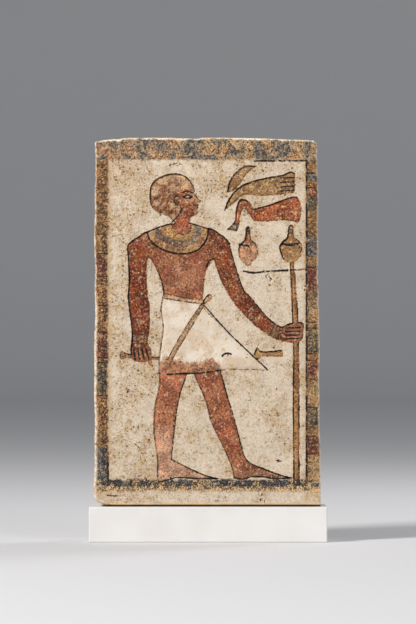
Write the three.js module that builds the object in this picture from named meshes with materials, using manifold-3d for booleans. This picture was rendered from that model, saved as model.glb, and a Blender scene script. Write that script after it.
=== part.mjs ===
// A painted limestone stele, carved in sunk relief, standing on a low white plinth.
// Millimetres, +Z up, with the origin in the middle of the plinth's underside and the carved face towards -Y.
import * as THREE from 'three';
import { mergeVertices } from 'three/addons/utils/BufferGeometryUtils.js';
import Module from 'manifold-3d';

// Slab
const slabWidth = 340; // at the foot
const slabHeight = 553;
const slabThickness = 70;
const slabShift = -1; // the slab stands this far off the middle of the plinth
const leftLean = 1.5; // how far each side leans in at the top
const rightLean = 5;
const leftDroop = 6; // how far the worn top sinks to its left corner
const droopRun = 70; // over this length
const rightDroop = 4.5; // and to its right corner, from the middle on
const chipWidth = 31; // the knocked-off lower left corner
const chipHeight = 15;
const wornCorner = 3;
const wearWave = 0.6; // how far the worn edges wander, in a long wave and a shorter one
const longWave = 0.031; // turn of the wave in a millimetre
const shortWave = 0.083;
const shortShare = 0.6;
const topShare = 0.5; // the top edge wanders less
const arris = 2.2;
const edgeStep = 26; // between the points of a worn edge
const cornerSteps = 4;

// Plinth
const plinthReveal = 8.5; // beyond the slab, at each side
const plinthMargin = 12.5; // beyond the slab, in front and behind
const plinthHeight = 53;
const plinthArris = 1.5;
const restGap = 0.3; // between the slab's foot and the plinth

// Borders
const sideBorder = 21;
const topBand = 33;
const footBand = 40;

// Relief
const cutDepth = 3; // of the contour below the face
const cutFloor = 0.7; // the flat bottom of the contour cut
const rollWidth = 2; // the figure rises quickly at first, then gently up to its crown
const crownWidth = 5.5;
const rollShare = 0.45; // of the way from the cut's floor to the crown
const floorRoom = 0.1; // how much of a narrow figure's width each step may take from one side
const rollRoom = 0.24;
const crownRoom = 0.38;
const layerRoom = 0.2;
const easePasses = 12; // a ring set in from an outline is eased back where it would fold
const easeStep = 0.7;
const above = 1; // how far cutters start above the face, and bodies below the floor of their cut
const facet = 9; // the longest straight stretch of a curved outline
const lineWidth = 1.7; // of the incised lines
const lineDepth = 0.9;
const fineWidth = 1.1;
const fineDepth = 0.5;
const endWidth = 0.3; // a line narrows to this share of its width at both ends
const endDepth = 0.5; // and to this share of its depth

// Depth of each crown below the slab's face
const flush = 0.3;
const highCrown = 0.5;
const skinCrown = 0.9;
const legCrown = 1.2;

// The panel is filled by a grid of squares, 18 of them from the ground line to the hairline.
const squaresWide = 12.3;
const squaresTall = 19.8;
const panelWidth = slabWidth - 2 * sideBorder;
const panelHeight = slabHeight - topBand - footBand;
const square = Math.min(panelWidth / squaresWide, panelHeight / squaresTall);
const slabFoot = plinthHeight + restGap;
const groundLine = slabFoot + footBand;

const wasm = await Module();
wasm.setup();

function toSolid(geometry) {
  geometry.deleteAttribute('normal');
  geometry.deleteAttribute('uv');
  const welded = mergeVertices(geometry);
  return new wasm.Manifold(new wasm.Mesh({
    numProp: 3,
    vertProperties: new Float32Array(welded.attributes.position.array),
    triVerts: new Uint32Array(welded.index.array),
  }));
}

function toGeometry(solid) {
  const mesh = solid.getMesh();
  const geometry = new THREE.BufferGeometry();
  geometry.setAttribute('position', new THREE.BufferAttribute(new Float32Array(mesh.vertProperties), 3));
  geometry.setIndex(new THREE.BufferAttribute(new Uint32Array(mesh.triVerts), 1));
  const flat = geometry.toNonIndexed();
  flat.computeVertexNormals();
  return flat;
}

// The carving is worked out face on, with x to the right, y up, z out of the stone and the face at z = 0.

// A point of the grid: squares to the right of the panel's middle, and squares above the ground line.
function onGrid([across, up]) {
  return new THREE.Vector2(slabShift + across * square, groundLine + up * square);
}

// A smooth line through a few points, cut into straight facets.
function smoothRun(points, closed = false) {
  const knots = points.map((p) => new THREE.Vector3(p.x, p.y, 0));
  const curve = new THREE.CatmullRomCurve3(knots, closed, 'centripetal');
  const spans = closed ? points.length : points.length - 1;
  const run = [];
  for (let i = 0; i < spans; i++) {
    const reach = points[i].distanceTo(points[(i + 1) % points.length]);
    const steps = points.length === 2 ? 1 : Math.ceil(reach / facet);
    for (let k = 0; k < steps; k++) {
      const p = curve.getPoint((i + k / steps) / spans);
      run.push(new THREE.Vector2(p.x, p.y));
    }
  }
  return run;
}

// An outline is a ring of smooth runs. Each run ends in a corner, where the next one starts.
function outlineOf(runs) {
  if (runs.length === 1) {
    return smoothRun(runs[0].map(onGrid), true);
  }
  return runs.flatMap((run, i) => {
    const next = runs[(i + 1) % runs.length][0];
    return smoothRun([...run, next].map(onGrid));
  });
}

function lineOf(points) {
  const ends = points.map(onGrid);
  return [...smoothRun(ends), ends[ends.length - 1]];
}

function anticlockwise(outline) {
  return THREE.ShapeUtils.isClockWise(outline) ? [...outline].reverse() : outline;
}

// The inward direction at each point of an anticlockwise outline, and the free way across along it.
function inwardRays(outline) {
  return outline.map((point, i) => {
    const before = outline.at(i - 1);
    const after = outline[(i + 1) % outline.length];
    const into = point.clone().sub(before).normalize();
    const out = after.clone().sub(point).normalize();
    const along = into.add(out).normalize();
    const inward = new THREE.Vector2(-along.y, along.x);
    let room = Infinity;
    outline.forEach((a, k) => {
      const b = outline[(k + 1) % outline.length];
      if (a === point || b === point) {
        return;
      }
      const side = b.clone().sub(a);
      const turn = inward.cross(side);
      const gap = a.clone().sub(point);
      const distance = gap.cross(side) / turn;
      const share = gap.cross(inward) / turn;
      if (share >= 0 && share <= 1 && distance > 0) {
        room = Math.min(room, distance);
      }
    });
    return { point, inward, room };
  });
}

// A closed body through rings of the same number of points, each ring flat at its own height.
function loftRings(rings, heights) {
  const count = rings[0].length;
  const position = rings.flatMap((ring, k) => ring.flatMap((p) => [p.x, p.y, heights[k]]));
  const last = (rings.length - 1) * count;
  const index = [];
  const foot = THREE.ShapeUtils.triangulateShape(rings[0], []);
  const top = THREE.ShapeUtils.triangulateShape(rings.at(-1), []);
  foot.forEach(([a, b, c]) => index.push(c, b, a));
  top.forEach(([a, b, c]) => index.push(last + a, last + b, last + c));
  for (let k = 0; k + 1 < rings.length; k++) {
    for (let i = 0; i < count; i++) {
      const a = k * count + i;
      const b = k * count + (i + 1) % count;
      index.push(a, b, b + count, a, b + count, a + count);
    }
  }
  const geometry = new THREE.BufferGeometry();
  geometry.setAttribute('position', new THREE.Float32BufferAttribute(position, 3));
  geometry.setIndex(index);
  return toSolid(geometry);
}

// The points of a ring at edges that cross each other or run against the outline's
function foldedPoints(ring, outer) {
  const count = ring.length;
  const folded = new Set();
  const turn = (a, b, c) => b.clone().sub(a).cross(c.clone().sub(a));
  for (let i = 0; i < count; i++) {
    const [a, b] = [ring[i], ring[(i + 1) % count]];
    const along = outer[(i + 1) % count].clone().sub(outer[i]);
    if (b.clone().sub(a).dot(along) <= 0) {
      folded.add(i).add((i + 1) % count);
    }
    for (let k = i + 2; k < count; k++) {
      const [c, d] = [ring[k], ring[(k + 1) % count]];
      if (c !== b && d !== a && turn(a, b, c) * turn(a, b, d) <= 0 && turn(c, d, a) * turn(c, d, b) <= 0) {
        [i, i + 1, k, k + 1].forEach((point) => folded.add(point % count));
      }
    }
  }
  return folded;
}

// Rings set in from an outline by several widths, and by less where it is too narrow for them
function insetRings(outline, widths, shares) {
  const ring = anticlockwise(outline);
  const rays = inwardRays(ring);
  const ease = ring.map(() => 1);
  const inset = (width, share) => rays.map(({ point, inward, room }, i) => (
    point.clone().addScaledVector(inward, ease[i] * Math.min(width, room * share))
  ));
  for (let pass = 0; pass < easePasses; pass++) {
    foldedPoints(inset(widths.at(-1), shares.at(-1)), ring).forEach((i) => {
      ease[i] *= easeStep;
    });
  }
  return widths.map((width, k) => inset(width, shares[k]));
}

function pocket(outline) {
  const ring = anticlockwise(outline);
  return loftRings([ring, ring], [-cutDepth, above]);
}

// A body that rises from the contour cut in two slopes to a flat crown.
function risingBody(outline, crown) {
  const widths = [cutFloor, cutFloor + rollWidth, cutFloor + crownWidth];
  const [foot, roll, top] = insetRings(outline, widths, [floorRoom, rollRoom, crownRoom]);
  const rollHeight = -cutDepth + (cutDepth - crown) * rollShare;
  return loftRings([foot, foot, roll, top], [-cutDepth - above, -cutDepth, rollHeight, -crown]);
}

// A thin layer over another body, such as a collar, with a steep edge.
function layer(outline, crown) {
  const [foot, top] = insetRings(outline, [0, fineWidth], [0, layerRoom]);
  return loftRings([foot, foot, top], [-cutDepth - above, -legCrown, -crown]);
}

// A V-shaped cut along a line, pointed at both ends.
function groove(line, width, depth, level) {
  const position = [];
  const spread = 1 + (above + level) / depth;
  line.forEach((point, i) => {
    const before = line[Math.max(i - 1, 0)];
    const after = line[Math.min(i + 1, line.length - 1)];
    const along = after.clone().sub(before).normalize();
    const atEnd = i === 0 || i === line.length - 1;
    const reach = (atEnd ? endWidth : 1) * width / 2 * spread;
    const across = new THREE.Vector2(-along.y, along.x).multiplyScalar(reach);
    position.push(point.x + across.x, point.y + across.y, above);
    position.push(point.x - across.x, point.y - across.y, above);
    position.push(point.x, point.y, -level - depth * (atEnd ? endDepth : 1));
  });
  const index = [0, 2, 1];
  for (let i = 0; i + 1 < line.length; i++) {
    const [l, r, b] = [3 * i, 3 * i + 1, 3 * i + 2];
    index.push(b, l, l + 3, b, l + 3, b + 3);
    index.push(r, b, b + 3, r, b + 3, r + 3);
    index.push(l, r, r + 3, l, r + 3, l + 3);
  }
  const end = 3 * (line.length - 1);
  index.push(end, end + 1, end + 2);
  const geometry = new THREE.BufferGeometry();
  geometry.setAttribute('position', new THREE.Float32BufferAttribute(position, 3));
  geometry.setIndex(index);
  return toSolid(geometry);
}

// Standing man. The face is a plain one on thirds: hairline to brow, brow to nostril, nostril to chin.
const head = outlineOf([
  [[-2.12, 15.35]],
  [[-2.04, 15.97], [-2.43, 16.29], [-3.11, 16.58], [-3.49, 16.99], [-3.56, 17.64], [-3.45, 18.29],
    [-2.93, 18.74], [-2.12, 18.96], [-1.38, 18.8], [-0.98, 18.38], [-0.78, 17.92], [-0.78, 17.72],
    [-0.56, 17.41], [-0.38, 17.25], [-0.44, 17.15]],
  [[-0.58, 17.12], [-0.5, 17]],
  [[-0.61, 16.92], [-0.53, 16.82], [-0.65, 16.71], [-0.57, 16.56], [-0.71, 16.39], [-1.06, 16.23],
    [-1.07, 15.97]],
  [[-0.98, 15.35]],
]);
const torso = outlineOf([
  [[-2.25, 15.87], [-2.74, 15.74], [-3.67, 15.37], [-4.1, 14.85], [-3.98, 14.23]],
  [[-3.58, 13.8], [-3.16, 13.09], [-2.85, 12.25], [-2.72, 11.57]],
  [[-2.74, 10.89]],
  [[-0.33, 10.77], [-0.26, 11.26], [-0.17, 12.19], [-0.05, 12.96]],
  [[0.38, 13.64], [0.91, 14.36], [0.78, 15.1], [0.07, 15.55], [-0.58, 15.75]],
  [[-1.01, 15.89]],
]);
const backArm = outlineOf([
  [[-3.18, 15.1], [-3.61, 15.39], [-4.35, 15], [-4.92, 14.54], [-4.92, 13.86], [-4.84, 12.5],
    [-4.91, 11.26],
    [-4.75, 9.96], [-4.66, 8.85], [-4.74, 8.04], [-4.65, 7.44], [-4.1, 7.25], [-3.53, 7.39], [-3.44, 7.92],
    [-3.67, 8.51], [-3.56, 9.34], [-3.57, 10.52], [-3.7, 11.76], [-3.71, 13.49]],
  [[-3.58, 13.82]],
  [[-3.18, 14.36]],
]);
const frontArm = outlineOf([
  [[-0.45, 14.85], [0.07, 15.55], [0.85, 15.17], [1.34, 14.68], [1.56, 13.86], [1.96, 12.56], [2.25, 11.79],
    [2.64, 11.35], [3.63, 10.17], [4.13, 9.72], [4.56, 9.48], [5.12, 9.68], [5.91, 9.7], [5.93, 9.03],
    [5.77, 8.58], [5.24, 8.46], [4.22, 8.74], [3.01, 9.51], [1.77, 10.81], [0.97, 12.07]],
  [[0.39, 13.65]],
  [[-0.08, 14.23]],
]);
const backLeg = outlineOf([
  [[-3.01, 7.3], [-3.01, 5.88], [-3.29, 4.39], [-3.34, 3.09], [-3.11, 1.24], [-3.1, 0.19]],
  [[-3.03, -0.19]],
  [[-2.32, -0.08], [-2.27, 0.11], [-2.06, 0.19], [-0.58, 0.03]],
  [[0.85, 0.04], [-0.14, 0.29], [-1.26, 0.8]],
  [[-2.19, 1.26], [-2.15, 1.86], [-2.02, 3.09], [-1.88, 4.27], [-1.63, 5.48], [-1.26, 6.56]],
  [[-1.2, 7.3]],
]);
const frontLeg = outlineOf([
  [[-0.95, 7.3], [-0.81, 6.54], [-0.14, 4.95], [0.24, 3.59], [0.91, 2.17], [1.46, 0.9], [1.69, 0.11],
    [2.02, 0.01], [2.39, 0.01], [2.76, 0.17], [3.38, 0.16], [4.13, 0.02]],
  [[5.32, 0.09], [4.5, 0.32], [3.51, 0.68], [2.49, 1.19], [2.18, 1.92], [1.74, 3.59], [1.22, 5.29],
    [0.86, 6.75]],
  [[0.78, 7.3]],
]);

// Dress: a kilt with a projecting front, its belt and knot, a sash across the kilt, and a broad collar
const kilt = outlineOf([
  [[-2.72, 11.54], [-2.9, 10.58], [-2.77, 9.53], [-2.9, 8.29], [-3.01, 7.43]],
  [[-3.01, 6.47], [-2, 6.5], [-0.64, 6.57], [0.85, 6.76], [2.33, 6.83]],
  [[3.79, 6.75], [2.95, 7.55], [1.16, 9.28], [-0.27, 10.8]],
  [[-0.22, 11.11], [-1.38, 11.26], [-2.19, 11.41]],
]);
const belt = outlineOf([
  [[-2.72, 11.55], [-2, 11.39], [-1.07, 11.21]],
  [[-0.22, 11.12]],
  [[-0.19, 10.89], [-1.07, 10.98], [-2, 11.12]],
  [[-2.79, 11.26]],
]);
const knot = outlineOf([
  [[-0.36, 10.92], [-0.18, 11.2], [0.02, 11.44], [0.18, 11.49], [0.31, 11.36], [0.26, 11.15],
    [0.05, 10.99]],
  [[-0.22, 10.84]],
]);
const sash = outlineOf([
  [[-0.39, 10.86], [-1.07, 9.87], [-1.85, 8.6]],
  [[-2.53, 7.3]],
  [[-2.32, 7.18], [-1.57, 8.48], [-0.76, 9.84]],
  [[-0.21, 10.77]],
]);
const collar = outlineOf([
  [[-3.73, 15.35], [-3.57, 14.89], [-3.11, 14.45], [-2.31, 14.09], [-1.38, 13.99], [-0.58, 14.24],
    [-0.06, 14.85]],
  [[0.08, 15.54]],
  [[-0.99, 15.89], [-1.05, 15.43], [-1.51, 15.18], [-2.03, 15.41]],
  [[-2.25, 15.86]],
]);

// What the man holds: a tall staff, and a sceptre that passes behind the kilt
const staff = outlineOf([
  [[5.1, 13.49]],
  [[5.36, 13.49], [5.54, 11.39], [5.67, 8.35], [5.69, 4.95]],
  [[5.71, -0.31]],
  [[5.33, -0.31], [5.3, 4.95], [5.31, 8.35], [5.2, 11.39]],
]);
const sceptreEnd = outlineOf([
  [[-4.5, 7.5], [-5.03, 7.51], [-5.31, 7.43], [-5.43, 7.67], [-5.31, 7.95], [-5.03, 7.82]],
  [[-4.5, 7.74]],
]);
const sceptreBlade = outlineOf([
  [[3.09, 8.23], [3.32, 7.97], [3.88, 7.96]],
  [[4.67, 8.03]],
  [[4.72, 7.59], [3.88, 7.6], [3.36, 7.61]],
  [[3.16, 7.45], [2.91, 7.75]],
]);
const sceptreShaft = outlineOf([[[-3.6, 7.61]], [[-2.9, 7.6]], [[-2.9, 7.4]], [[-3.6, 7.41]]]);

// Offerings: a leaf, a bundle, a foreleg and two stoppered jars
const leaf = outlineOf([
  [[1.23, 17.8], [1.37, 18.44], [1.77, 19.03], [2.39, 19.44]],
  [[3.05, 19.41], [2.55, 19.01], [2.08, 18.35], [1.69, 17.93]],
]);
const bundle = outlineOf([
  [[1.04, 16.65], [1.34, 17.38], [1.84, 18.01], [2.64, 18.43], [3.75, 18.71], [4.74, 18.9], [5.15, 19.07]],
  [[5.46, 18.94]],
  [[5.4, 17.75], [4.56, 17.65], [3.38, 17.56], [2.21, 17.59], [1.65, 17.13]],
]);
const foreleg = outlineOf([
  [[2.86, 16.76], [3.88, 17.04], [5.52, 17.52], [5.77, 17.17], [5.85, 16.65]],
  [[5.69, 15.94], [4.81, 16.05], [2.93, 16.03], [2.59, 16.47], [2.26, 16.81], [2.06, 16.27], [2, 15.84]],
  [[1.84, 15.37]],
  [[1.2, 15.47], [1.68, 15.99], [1.81, 16.86], [2.06, 17.35], [2.53, 17.25]],
]);

// A jar's width is given as shares of its belly, at shares of its height.
function jarOutline({ middle, foot, top, belly, footShare }) {
  const profile = [
    [0.08, footShare], [0.22, 0.84], [0.42, 1], [0.56, 0.78], [0.67, 0.36], [0.8, 0.26], [0.94, 0.22],
  ];
  const side = (sign) => profile.map(([height, width]) => [
    middle + sign * width * belly / 2, foot + height * (top - foot),
  ]);
  return outlineOf([[[middle, foot], ...side(1), [middle, top], ...side(-1).reverse()]]);
}
const slimJar = { middle: 2.53, foot: 13.19, top: 15.7, belly: 1.24, footShare: 0.36 };
const roundJar = { middle: 5.18, foot: 13.4, top: 15.78, belly: 1.42, footShare: 0.62 };
const jars = [slimJar, roundJar].map(jarOutline);

// Incised lines of the head: the edge of the hair, an almond eye, its brow, the mouth and the ear
const headLines = [
  [[-2.17, 15.95], [-1.75, 16.42], [-1.57, 16.79]],
  [[-1.49, 17.52], [-1.2, 17.63], [-0.95, 17.5]],
  [[-1.49, 17.52], [-1.22, 17.42], [-0.95, 17.5]],
  [[-1.56, 17.78], [-1.22, 17.88], [-0.9, 17.74]],
  [[-0.84, 16.9], [-0.62, 16.93]],
  [[-1.86, 17.6], [-2.05, 17.42], [-1.98, 17.1], [-1.78, 16.99]],
];

// Incised lines of the body and dress
const bodyLines = [
  [[0.38, 13.65], [0.1, 13.51], [-0.05, 13.18]],
  [[-2.25, 15.6], [-1.97, 15.05], [-1.48, 14.81], [-0.98, 15.02], [-0.62, 15.6]],
  [[-2.95, 15.5], [-2.6, 14.85], [-1.95, 14.42], [-1.4, 14.36], [-0.8, 14.6], [-0.35, 15.3]],
];
const hem = [[-2.5, 6.52], [-1.6, 6.57], [-0.6, 6.6], [0.2, 6.68], [0.78, 6.78]];
const shelf = [[2.24, 12.91], [2.76, 12.82], [3.75, 12.9], [4.74, 12.96], [6.11, 13.04]];

// Straight cuts between two points, spread evenly from one pair of ends to another
function fanOfLines(count, firstEnds, lastEnds) {
  const lines = [];
  for (let i = 0; i < count; i++) {
    const share = count > 1 ? i / (count - 1) : 0;
    lines.push(firstEnds.map((end, k) => (
      end.map((value, axis) => THREE.MathUtils.lerp(value, lastEnds[k][axis], share))
    )));
  }
  return lines;
}
const fingerLines = [
  ...fanOfLines(4, [[-4.55, 8.1], [-4.47, 7.45]], [[-3.8, 8.1], [-3.62, 7.5]]),
  ...fanOfLines(4, [[4.85, 9.4], [5.8, 9.42]], [[4.8, 8.72], [5.65, 8.75]]),
];
const braceletLines = [
  ...fanOfLines(2, [[-4.62, 8.98], [-3.72, 8.98]], [[-4.66, 8.42], [-3.74, 8.42]]),
  ...fanOfLines(2, [[4.16, 9.66], [3.9, 8.98]], [[4.52, 9.44], [4.38, 8.76]]),
];
const toeLines = fanOfLines(3, [[3.3, 0.46], [4.3, 0.26]], [[3.2, 0.24], [4.5, 0.12]]);
const bundleLines = fanOfLines(4, [[4.55, 18.68], [5.4, 18.72]], [[4.55, 17.88], [5.36, 17.93]]);
const jarBands = [
  [[2.0, 14.56], [2.53, 14.5], [3.06, 14.56]],
  [[4.62, 14.6], [5.18, 14.54], [5.72, 14.6]],
];

// Borders: lines along the panel's edges where they still show, and lines that part the sides
const panelEdge = squaresWide / 2;
const frameFoot = -0.2;
const frameTop = 19.75;
const leftLineTop = 1.6;
const topLineStart = 2.9;
const frameLines = [
  [[panelEdge, frameFoot], [panelEdge, frameTop]],
  [[-panelEdge, frameFoot], [-panelEdge, leftLineTop]],
  [[topLineStart, frameTop], [panelEdge, frameTop]],
];
const crossGap = 0.03; // between a cross line and the panel's edge
const crossEnd = 0.62; // the far end of a cross line
const rightCrosses = [1.6, 2.7, 4.5, 6.2, 7.4, 7.8, 9.4, 9.75, 11.2, 13.15, 15.1, 16.7, 18.1, 19];
const leftCrosses = [5.2, 7.25, 7.55, 9.15, 10.8, 12.6, 14];
const crossLines = [
  ...rightCrosses.map((up) => [[panelEdge + crossGap, up], [panelEdge + crossEnd, up]]),
  ...leftCrosses.map((up) => [[-panelEdge - crossGap, up], [-panelEdge - crossEnd, up]]),
];

// A row of shallow strokes in the top band, which spell nothing
const strokeCount = 14;
const strokeFrom = -0.1;
const strokeTo = 5.8;
const strokeLevel = 20.35;
const strokeLean = 0.16; // the strokes lean to and fro, each by another amount
const leanTurn = 2.4;
const strokeReach = 0.16; // half of a stroke's height, which varies too
const reachChange = 0.1;
const reachTurn = 1.7;
const strokes = Array.from({ length: strokeCount }, (_, i) => {
  const across = THREE.MathUtils.lerp(strokeFrom, strokeTo, i / (strokeCount - 1));
  const lean = strokeLean * Math.sin(leanTurn * i);
  const half = strokeReach + reachChange * Math.cos(reachTurn * i);
  return [[across - lean, strokeLevel - half], [across + lean, strokeLevel + half]];
});

// Chips knocked out of the face, as short gouges
const gouges = [
  [[0.95, 7.85], [1.15, 8.0], [1.4, 7.93]],
  [[-2.15, 19.53], [-1.72, 19.62]],
  [[3.62, 12.7], [3.85, 12.55], [4.0, 12.38]],
  [[-4.5, 2.25], [-4.2, 1.95]],
  [[-4.05, 0.1], [-3.8, 0.28]],
  [[-6.25, -0.98], [-5.35, -1.0]],
  [[4.25, 1.2], [4.6, 1.14]],
];

// Edge of the slab, anticlockwise from the foot of the right side
function wander(t) {
  return wearWave * (Math.sin(longWave * t) + shortShare * Math.sin(shortWave * t + 1));
}

function slabOutline() {
  const left = slabShift - slabWidth / 2;
  const right = slabShift + slabWidth / 2;
  const top = slabFoot + slabHeight;
  const sideSteps = Math.round(slabHeight / edgeStep);
  const points = [new THREE.Vector2(right, slabFoot)];
  for (let i = 1; i < sideSteps; i++) {
    const up = slabHeight * i / sideSteps;
    points.push(new THREE.Vector2(right - rightLean * up / slabHeight + wander(up), slabFoot + up));
  }
  const cornerX = right - rightLean - wornCorner;
  const cornerY = top - rightDroop - wornCorner;
  for (let k = 0; k <= cornerSteps; k++) {
    const turn = Math.PI / 2 * k / cornerSteps;
    points.push(new THREE.Vector2(
      cornerX + wornCorner * Math.cos(turn), cornerY + wornCorner * Math.sin(turn),
    ));
  }
  const topSteps = Math.round(slabWidth / edgeStep);
  for (let i = 1; i < topSteps; i++) {
    const x = THREE.MathUtils.lerp(cornerX, left + leftLean, i / topSteps);
    const fromLeft = Math.min((x - left) / droopRun, 1);
    const toRight = Math.max((x - slabShift) / (slabWidth / 2), 0);
    const sink = leftDroop * (1 - fromLeft) ** 2 + rightDroop * toRight ** 2;
    points.push(new THREE.Vector2(x, top - sink + topShare * wander(x)));
  }
  points.push(new THREE.Vector2(left + leftLean, top - leftDroop));
  for (let i = sideSteps - 1; i > 0; i--) {
    const up = slabHeight * i / sideSteps;
    const x = left + leftLean * up / slabHeight + wander(up + slabHeight);
    if (up > chipHeight) {
      points.push(new THREE.Vector2(x, slabFoot + up));
    }
  }
  for (let k = 0; k <= cornerSteps; k++) {
    const turn = Math.PI + Math.PI / 2 * k / cornerSteps;
    points.push(new THREE.Vector2(
      left + chipWidth * (1 + Math.cos(turn)), slabFoot + chipHeight * (1 + Math.sin(turn)),
    ));
  }
  return points;
}

function bevelledPlate(outline, depth, bevel) {
  const geometry = new THREE.ExtrudeGeometry(new THREE.Shape(outline), {
    depth: depth - 2 * bevel,
    bevelThickness: bevel,
    bevelSize: bevel,
    bevelOffset: -bevel,
    bevelSegments: 1,
    steps: 1,
  });
  return geometry.translate(0, 0, bevel - depth);
}

function buildStele() {
  const bodies = [
    [head, skinCrown], [torso, skinCrown], [backArm, highCrown], [frontArm, highCrown],
    [backLeg, legCrown], [frontLeg, legCrown], [kilt, highCrown], [knot, flush],
    [staff, skinCrown], [sceptreEnd, skinCrown], [sceptreBlade, skinCrown], [sceptreShaft, skinCrown],
    [leaf, skinCrown], [bundle, highCrown], [foreleg, highCrown], ...jars.map((jar) => [jar, skinCrown]),
  ];
  const layers = [[belt, flush], [sash, flush], [collar, flush]];
  const lines = (list, width, depth, level) => (
    list.map((line) => groove(lineOf(line), width, depth, level))
  );
  const cuts = [
    ...lines([...headLines, ...bodyLines], lineWidth, lineDepth, skinCrown),
    ...lines([...fingerLines, ...braceletLines], lineWidth, lineDepth, highCrown),
    ...lines([...bundleLines, ...jarBands], lineWidth, lineDepth, highCrown),
    ...lines(toeLines, fineWidth, fineDepth, legCrown),
    ...lines([hem], lineWidth, lineDepth, legCrown),
    ...lines([shelf, ...gouges], lineWidth, lineDepth, 0),
    ...lines([...frameLines, ...crossLines, ...strokes], fineWidth, fineDepth, 0),
  ];
  let stone = toSolid(bevelledPlate(slabOutline(), slabThickness, arris));
  const hollows = bodies.map(([outline]) => pocket(outline)).reduce((all, next) => all.add(next));
  stone = stone.subtract(hollows);
  bodies.forEach(([outline, crown]) => {
    stone = stone.add(risingBody(outline, crown));
  });
  layers.forEach(([outline, crown]) => {
    stone = stone.add(layer(outline, crown));
  });
  return stone.subtract(cuts.reduce((all, next) => all.add(next)));
}

const limestone = new THREE.MeshStandardMaterial({
  name: 'limestone',
  color: 0xd6c4a8,
  roughness: 0.9,
  metalness: 0,
});
const stele = new THREE.Mesh(toGeometry(buildStele()), limestone);
stele.name = 'stele';
stele.rotation.x = Math.PI / 2;
stele.position.y = -slabThickness / 2;

const plinthWidth = slabWidth + 2 * plinthReveal;
const plinthDepth = slabThickness + 2 * plinthMargin;
const plinthOutline = [[1, 1], [-1, 1], [-1, -1], [1, -1]].map(([across, along]) => (
  new THREE.Vector2(across * plinthWidth / 2, along * plinthDepth / 2)
));
const whiteFinish = new THREE.MeshStandardMaterial({
  name: 'plinth_white',
  color: 0xe8e4e0,
  roughness: 0.55,
  metalness: 0,
});
const plinth = new THREE.Mesh(bevelledPlate(plinthOutline, plinthHeight, plinthArris), whiteFinish);
plinth.name = 'plinth';
plinth.position.z = plinthHeight;

const part = new THREE.Group();
part.add(stele, plinth);
export default part;
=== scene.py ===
import math
from functools import reduce

import bpy
import numpy as np
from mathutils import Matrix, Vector


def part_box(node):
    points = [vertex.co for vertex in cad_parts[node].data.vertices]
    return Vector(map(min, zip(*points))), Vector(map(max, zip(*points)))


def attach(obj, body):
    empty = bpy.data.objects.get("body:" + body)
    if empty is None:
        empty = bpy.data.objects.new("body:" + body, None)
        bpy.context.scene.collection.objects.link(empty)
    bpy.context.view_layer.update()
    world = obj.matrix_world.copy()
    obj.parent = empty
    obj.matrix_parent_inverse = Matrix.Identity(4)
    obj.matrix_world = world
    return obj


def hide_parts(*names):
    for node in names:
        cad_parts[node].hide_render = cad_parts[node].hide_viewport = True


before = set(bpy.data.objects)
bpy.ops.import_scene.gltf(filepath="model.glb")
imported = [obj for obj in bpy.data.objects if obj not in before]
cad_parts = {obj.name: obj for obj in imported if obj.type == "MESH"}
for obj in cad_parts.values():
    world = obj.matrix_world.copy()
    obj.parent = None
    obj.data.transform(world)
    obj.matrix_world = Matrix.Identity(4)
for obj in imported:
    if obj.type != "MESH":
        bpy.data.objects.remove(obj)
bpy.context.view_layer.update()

MM = 0.001

# Slab and plinth, in millimetres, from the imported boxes
slab_low, slab_high = [[value / MM for value in corner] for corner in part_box("stele")]
plinth_low, plinth_high = [[value / MM for value in corner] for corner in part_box("plinth")]
SLAB_WIDTH = 340
SLAB_SHIFT = -1
SLAB_FOOT = slab_low[2]
SLAB_TOP = slab_high[2]
SLAB_HEIGHT = SLAB_TOP - SLAB_FOOT
FACE_Y = slab_low[1]
BACK_Y = slab_high[1]
LEFT = SLAB_SHIFT - SLAB_WIDTH / 2
RIGHT = SLAB_SHIFT + SLAB_WIDTH / 2
PLINTH_ARRIS = 1.8

# Outline of the slab: leaning sides, drooping top, the chip at the lower left, and wear in waves and bites
LEFT_LEAN = 1.5
RIGHT_LEAN = 5
LEFT_DROOP = 6
DROOP_RUN = 70
RIGHT_DROOP = 4.5
CHIP_WIDTH = 31
CHIP_HEIGHT = 15
WORN_CORNER = 3
WEAR_WAVE = 0.6
LONG_WAVE = 0.031
SHORT_WAVE = 0.083
SHORT_SHARE = 0.6
TOP_SHARE = 0.5
FINE_WEAR = dict(size=4, level=0.1, height=0.5)
BITES = dict(size=17, level=0.45, height=2.2)
EDGE_FADE = 14  # how far in from each edge the outline still shifts the face
CHIP_FADE = 60
TOP_FADE = 26

# Arris: its radius, its bites, and where it is worn wider, low on the left
ARRIS = 2.2
ARRIS_BITES = dict(size=9, level=0.35, height=2.5)
LEFT_WEAR = 2.6
LEFT_WEAR_RUN = (8, 3)
LEFT_WEAR_TOP = (330, 300)
FOOT_GAP = 2.4  # the shadow gap under the slab's foot
FOOT_UNDERCUT = 6.5
SIDE_RINGS = 11
SIDE_SINK = 0.7

# Borders, and the sculptor's grid of squares that fills the panel between them
SIDE_BORDER = 21
TOP_BAND = 33
FOOT_BAND = 40
SQUARES_WIDE = 12.3
SQUARES_TALL = 19.8
SQUARE = min((SLAB_WIDTH - 2 * SIDE_BORDER) / SQUARES_WIDE,
             (SLAB_HEIGHT - TOP_BAND - FOOT_BAND) / SQUARES_TALL)
GROUND_LINE = SLAB_FOOT + FOOT_BAND
PANEL_EDGE = SQUARES_WIDE / 2
PANEL_HALF = PANEL_EDGE * SQUARE

# Relief
CUT_DEPTH = 2.9
WALL = 0.75
CROWN_WIDTH = 6.5
CROWN_POWER = 2.6
LAYER_EDGE = 0.9
FLUSH = 0.3
HIGH_CROWN = 0.5
SKIN_CROWN = 0.9
LEG_CROWN = 1.2
LINE_WIDTH = 1.9
LINE_DEPTH = 0.9
FINE_WIDTH = 1.5
FINE_DEPTH = 0.45

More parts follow.
